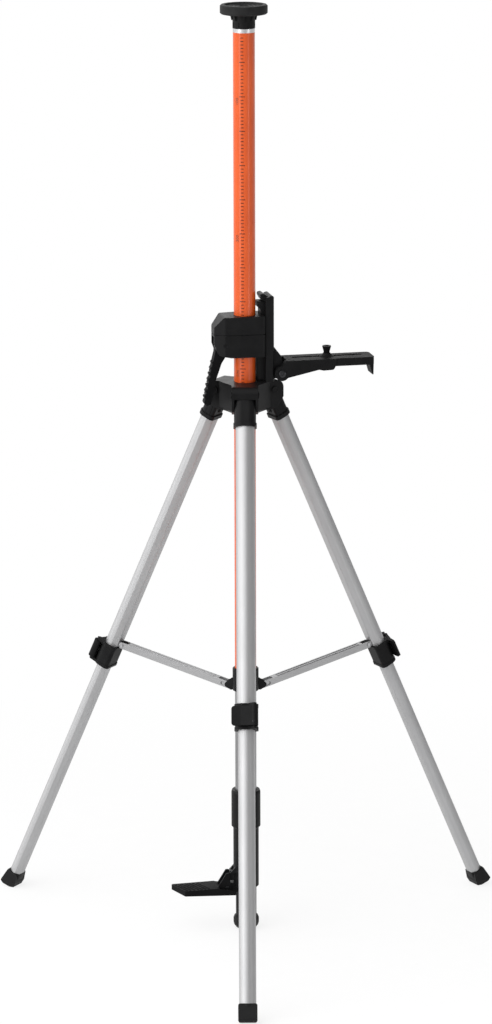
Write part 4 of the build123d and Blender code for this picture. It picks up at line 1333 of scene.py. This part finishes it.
@dataclass
class PedalWeb(SubAssembly):
    """Webs on the sleeve above and below the pedal's lug, between the pedal's cheeks (millimetres)."""

    half: float = 6.7
    ease: float = 0.8
    rows: tuple[tuple[float, float, float, float, float], ...] = (
        (16.6, 27.0, 25.2, 77.4, 91.6), (11.6, 19.2, 18.6, 58.6, 66.9))

    def web(self, root: float, reach: float, top_reach: float, foot: float, top: float) -> Piece:
        """Model one web from a bar whose outer face leans in.

        Args:
            root: Inner end, from the pole's axis.
            reach: Outer end at its foot.
            top_reach: Outer end at its top.
            foot: Height of its foot.
            top: Height of its top.

        Returns:
            The web, in place.
        """
        web = Bench.bar(reach - root, 2.0 * self.half, top - foot)
        Bench.pick_edges(web, lambda a, b: min(a.x, b.x) > 0.0 and min(a.z, b.z) > 0.0)
        bpy.ops.transform.translate(value=((top_reach - reach) * MM, 0.0, 0.0))
        Bench.bevel(web, lambda a, b: min(a.x, b.x) > 0.0, self.ease * MM, Bench.FEW_STEPS)
        middle = Place.at((root + reach) / 2, 0.0, (foot + top) / 2)
        return Bench.settle(web, Place.turn(PEDAL_TURN) @ middle)

    def build(self) -> None:
        """Model both webs as one moulding."""
        made = Bench.join([self.web(*row) for row in self.rows])
        self.dress(made, "pedal_lug_web", "stand", Slot.SLEEVE)


@dataclass
class LeverGrip(SubAssembly):
    """Grip ribs across the outer face of the squeeze lever (millimetres from its pivot)."""

    first: tuple[float, float] = (-16.3, -26.6)
    step: tuple[float, float] = (-1.86, -8.4)
    count: int = 7
    half: float = 6.6
    width: float = 3.4
    proud: float = 1.35
    ease: float = 0.8

    def build(self) -> None:
        """Model one rib and copy it down the lever as one moulding."""
        pattern = Bench.bar(self.width, 2.0 * self.half, 2.0 * self.proud)
        Bench.round_top(pattern, self.ease * self.proud * MM)
        along = Vector((0.0, 1.0, 0.0))
        outward = Vector((self.step[1], 0.0, -self.step[0])).normalized()
        turned = Place.basis(along.cross(outward), along, outward)
        places = []
        for number in range(self.count):
            x, z = (LEVER_PIVOT[axis] + self.first[axis] + self.step[axis] * number for axis in (0, 1))
            places.append(Place.turn(ARM_TURN) @ Place.at(x, 0.0, z) @ turned)
        self.dress(Bench.row(pattern, places), "squeeze_lever_ribs", "squeeze_lever", Slot.LEVER)


@dataclass
class PadRings(SubAssembly):
    """Grip rings in the dish of the ceiling pad (millimetres)."""

    dish: float = 1392.75
    radii: tuple[float, ...] = (7.0, 13.5, 20.0)
    ridge: float = 1.0
    flat: float = 0.75
    sunk: float = 0.3
    ring_steps: int = 72
    ridge_steps: int = 12

    def ring(self, radius: float) -> Piece:
        """One flattened ridge.

        Args:
            radius: Radius of the ring, in millimetres.

        Returns:
            The ring, lying in the dish.
        """
        Bench.clear()
        bpy.ops.mesh.primitive_torus_add(major_radius=radius * MM, minor_radius=self.ridge * MM,
                                         major_segments=self.ring_steps, minor_segments=self.ridge_steps,
                                         location=(0.0, 0.0, 0.0))
        ring = bpy.context.object
        Bench.open_all(ring)
        bpy.ops.transform.resize(value=(1.0, 1.0, self.flat), center_override=(0.0, 0.0, 0.0))
        bpy.ops.mesh.bisect(plane_co=(0.0, 0.0, -self.sunk * MM), plane_no=(0.0, 0.0, 1.0), use_fill=True,
                            clear_inner=True)
        bpy.ops.object.mode_set(mode="OBJECT")
        return Bench.settle(ring, Place.at(0.0, 0.0, self.dish))

    def build(self) -> None:
        """Model the rings as one moulding."""
        made = Bench.join([self.ring(radius) for radius in self.radii])
        self.dress(made, "pad_grip_rings", "mast", Slot.PAD, angle=RING_EDGE)


@dataclass
class PrintedScale(SubAssembly):
    """Numbers beside the long ticks of the pole's scale."""

    radius: float = POLE_RADIUS * MM
    proud: float = 0.04 * MM
    em: float = 7.0 * MM
    azimuth: float = -121.5
    heights: tuple[tuple[str, float], ...] = (("100", 1263.8), ("300", 1063.8), ("500", 863.8))
    drop: float = 2.0
    cuts: int = 8
    dark: Colour = (0.026, 0.008, 0.005)
    worn: Colour = (0.050, 0.014, 0.008)
    roughness: Span = (0.30, 0.42)
    wear_scale: float = 900.0
    gloss_scale: float = 300.0

    def ink(self) -> Material:
        """Material of the printed numbers.

        Returns:
            The material.
        """
        graph = Graph("scale_ink")
        place = graph.place()
        tone = graph.mottled(graph.noise(place, self.wear_scale, detail=2.0), self.dark, self.worn)
        rough = graph.span(graph.noise(place, self.gloss_scale), *self.roughness)
        return graph.finish(Base_Color=tone, Roughness=rough)

    def number(self, words: str, top: float, material: Material) -> None:
        """One number, wrapped on the pole and reading upwards.

        Args:
            words: The digits.
            top: Height of the long tick that it stands under, in millimetres.
            material: Ink.
        """
        Bench.clear()
        bpy.ops.object.text_add(location=(0.0, 0.0, 0.0))
        text = bpy.context.object
        text.data.body = words
        text.data.size = self.em
        text.data.align_x = "RIGHT"
        bpy.ops.object.convert(target="MESH")
        bpy.ops.object.mode_set(mode="EDIT")
        height = max(vertex.co.y for vertex in text.data.vertices)
        for step in range(1, self.cuts):
            bpy.ops.mesh.select_all(action="SELECT")
            level = (0.0, height * step / self.cuts, 0.0)
            bpy.ops.mesh.bisect(plane_co=level, plane_no=(0.0, 1.0, 0.0))
        bpy.ops.object.mode_set(mode="OBJECT")
        reach = self.radius + self.proud
        start = math.radians(self.azimuth)
        for vertex in text.data.vertices:
            angle = start - vertex.co.y / self.radius
            z = (top - self.drop) * MM + vertex.co.x
            vertex.co = (reach * math.cos(angle), reach * math.sin(angle), z)
        self.dress(text, f"scale_number_{words}", "stand", Slot.PAINT, material=material)

    def build(self) -> None:
        """Build all the numbers."""
        material = self.ink()
        for words, top in self.heights:
            self.number(words, top, material)


@dataclass(frozen=True)
class Softbox:
    """Rectangular soft light aimed at the pole, in metres, degrees and watts.

    The azimuth is the direction from the pole, with -90 towards the camera.
    """

    name: str
    azimuth: float
    reach: float
    z: float
    size: tuple[float, float]
    power: float
    aim_z: float

    def hang(self) -> None:
        """Put the light in its place."""
        data = bpy.data.lights.new(self.name, "AREA")
        data.shape = "RECTANGLE"
        data.size, data.size_y = self.size
        data.energy = self.power
        lamp = bpy.data.objects.new(self.name, data)
        angle = math.radians(self.azimuth)
        spot = Vector((self.reach * math.cos(angle), self.reach * math.sin(angle), self.z))
        aim = Vector((0.0, 0.0, self.aim_z)) - spot
        lamp.matrix_world = Matrix.Translation(spot) @ aim.to_track_quat("-Z", "Y").to_matrix().to_4x4()
        bpy.context.scene.collection.objects.link(lamp)


@dataclass
class Studio:
    """Pale floor, soft light and the photograph's camera."""

    distance: float = 6394.823 * MM
    height: float = 2187.252 * MM
    pitch: float = 13.5585
    focal_px: float = 4456.15
    aside: float = 1.272 * MM
    roll: float = 0.1540
    turn: float = 0.2706
    frame_px: tuple[int, int] = (492, 1024)
    sensor: float = 24.0
    sight: float = 200.0
    floor_size: float = 90.0
    floor_z: float = -0.4 * MM
    fibre_scale: float = 30.0
    paper: Span = (0.90, 0.925)
    glow: Span = (0.80, 1.0)
    glow_span: Span = (0.55, 1.3)
    world_ramps: tuple[tuple[str, float, float, float, float], ...] = (
        ("X", -0.95, -0.15, 1.35, 0.0), ("X", -0.97, -0.68, 1.7, 0.0),
        ("X", -0.15, 0.6, 0.35, 0.0), ("X", 0.62, 0.95, 0.0, 0.45),
        ("Y", 0.80, 0.97, 0.0, 2.2), ("Z", 0.15, 0.9, 0.0, 0.45))
    lamps: tuple[Softbox, ...] = (
        Softbox("key_softbox", -136.0, 3.2, 0.85, (0.9, 1.7), 14.0, 0.6),
        Softbox("front_softbox", -128.0, 2.4, 2.5, (3.8, 2.2), 46.0, 0.6),
        Softbox("edge_strip", -42.0, 3.2, 0.7, (0.12, 1.4), 7.0, 0.7),
        Softbox("top_softbox", -100.0, 0.8, 3.6, (3.0, 3.0), 22.0, 0.4))

    def camera(self) -> None:
        """Camera of the photograph's view."""
        pitch, roll = math.radians(self.pitch), math.radians(self.roll)
        ahead = Vector((0.0, math.cos(pitch), -math.sin(pitch)))
        right, up = Vector((1.0, 0.0, 0.0)), Vector((0.0, math.sin(pitch), math.cos(pitch)))
        across = right * math.cos(roll) - up * math.sin(roll)
        upward = right * math.sin(roll) + up * math.cos(roll)
        stand = Matrix.Translation(Vector((self.aside, -self.distance, self.height)))
        data = bpy.data.cameras.new("photo_camera")
        data.sensor_fit = "VERTICAL"
        data.sensor_height = self.sensor
        data.lens = self.focal_px / self.frame_px[1] * self.sensor
        data.clip_end = self.sight
        camera = bpy.data.objects.new("photo_camera", data)
        camera.matrix_world = Place.turn(-self.turn) @ stand @ Place.basis(across, upward, -ahead)
        bpy.context.scene.collection.objects.link(camera)
        bpy.context.scene.camera = camera

    def floor(self) -> None:
        """Wide pale floor that fades to plain white away from the object."""
        Bench.clear()
        bpy.ops.mesh.primitive_plane_add(size=self.floor_size, location=(0.0, 0.0, self.floor_z))
        floor = Bench.settle(bpy.context.object)
        floor.name = "studio_floor"
        graph = Graph("studio_floor_paper")
        place = graph.place()
        fibre = graph.span(graph.noise(place, self.fibre_scale), *self.paper)
        paper = graph.node("CombineColor", {0: fibre, 1: fibre, 2: fibre}).outputs[0]
        matt = graph.node("BsdfDiffuse", {"Color": paper})
        glow = graph.node("Emission", {"Color": (1.0, 1.0, 1.0), "Strength": 1.0})
        rays = graph.node("LightPath").outputs
        mirrored = graph.math("MAXIMUM", rays["Is Glossy Ray"], rays["Is Transmission Ray"])
        seen = graph.math("MAXIMUM", rays["Is Camera Ray"], mirrored)
        far = graph.node("VectorMath", {0: place}, operation="LENGTH").outputs["Value"]
        share = graph.math("MULTIPLY", seen, graph.span(far, *self.glow, self.glow_span))
        graph.close(graph.node("MixShader", {0: share, 1: matt.outputs[0], 2: glow.outputs[0]}))
        floor.data.materials.append(graph.owner)

    def surround(self) -> None:
        """World light: pale overhead, on the left and behind the object, dim on the right and in front."""
        graph = Graph("studio_surround", world=True)
        bpy.context.scene.world = graph.owner
        axes = graph.node("SeparateXYZ", {0: graph.node("TexCoord").outputs["Generated"]})
        total = 0.0
        for axis, start, end, low, high in self.world_ramps:
            total = graph.math("ADD", total, graph.span(axes.outputs[axis], low, high, (start, end)))
        graph.close(graph.node("Background", {"Strength": total}))

    def build(self) -> None:
        """Set the stage, the lights and the camera."""
        bpy.context.scene.view_settings.view_transform = "Standard"
        self.camera()
        self.floor()
        self.surround()
        for lamp in self.lamps:
            lamp.hang()


def main() -> None:
    """Build every sub-assembly in order."""
    logging.basicConfig(level=logging.INFO, format="%(name)s: %(message)s")
    palette = Palette()
    palette.dress_solids()
    for assembly in (PrintedScale, HubHardware, LegHardware, CarriageHardware, RailLiner, LegTubes,
                     SocketShells, BraceCheeks, BraceLiners, PedalWeb, LeverGrip, PedalGrip, PadRings):
        assembly(palette).build()
    Studio().build()


if __name__ == "__main__":
    main()
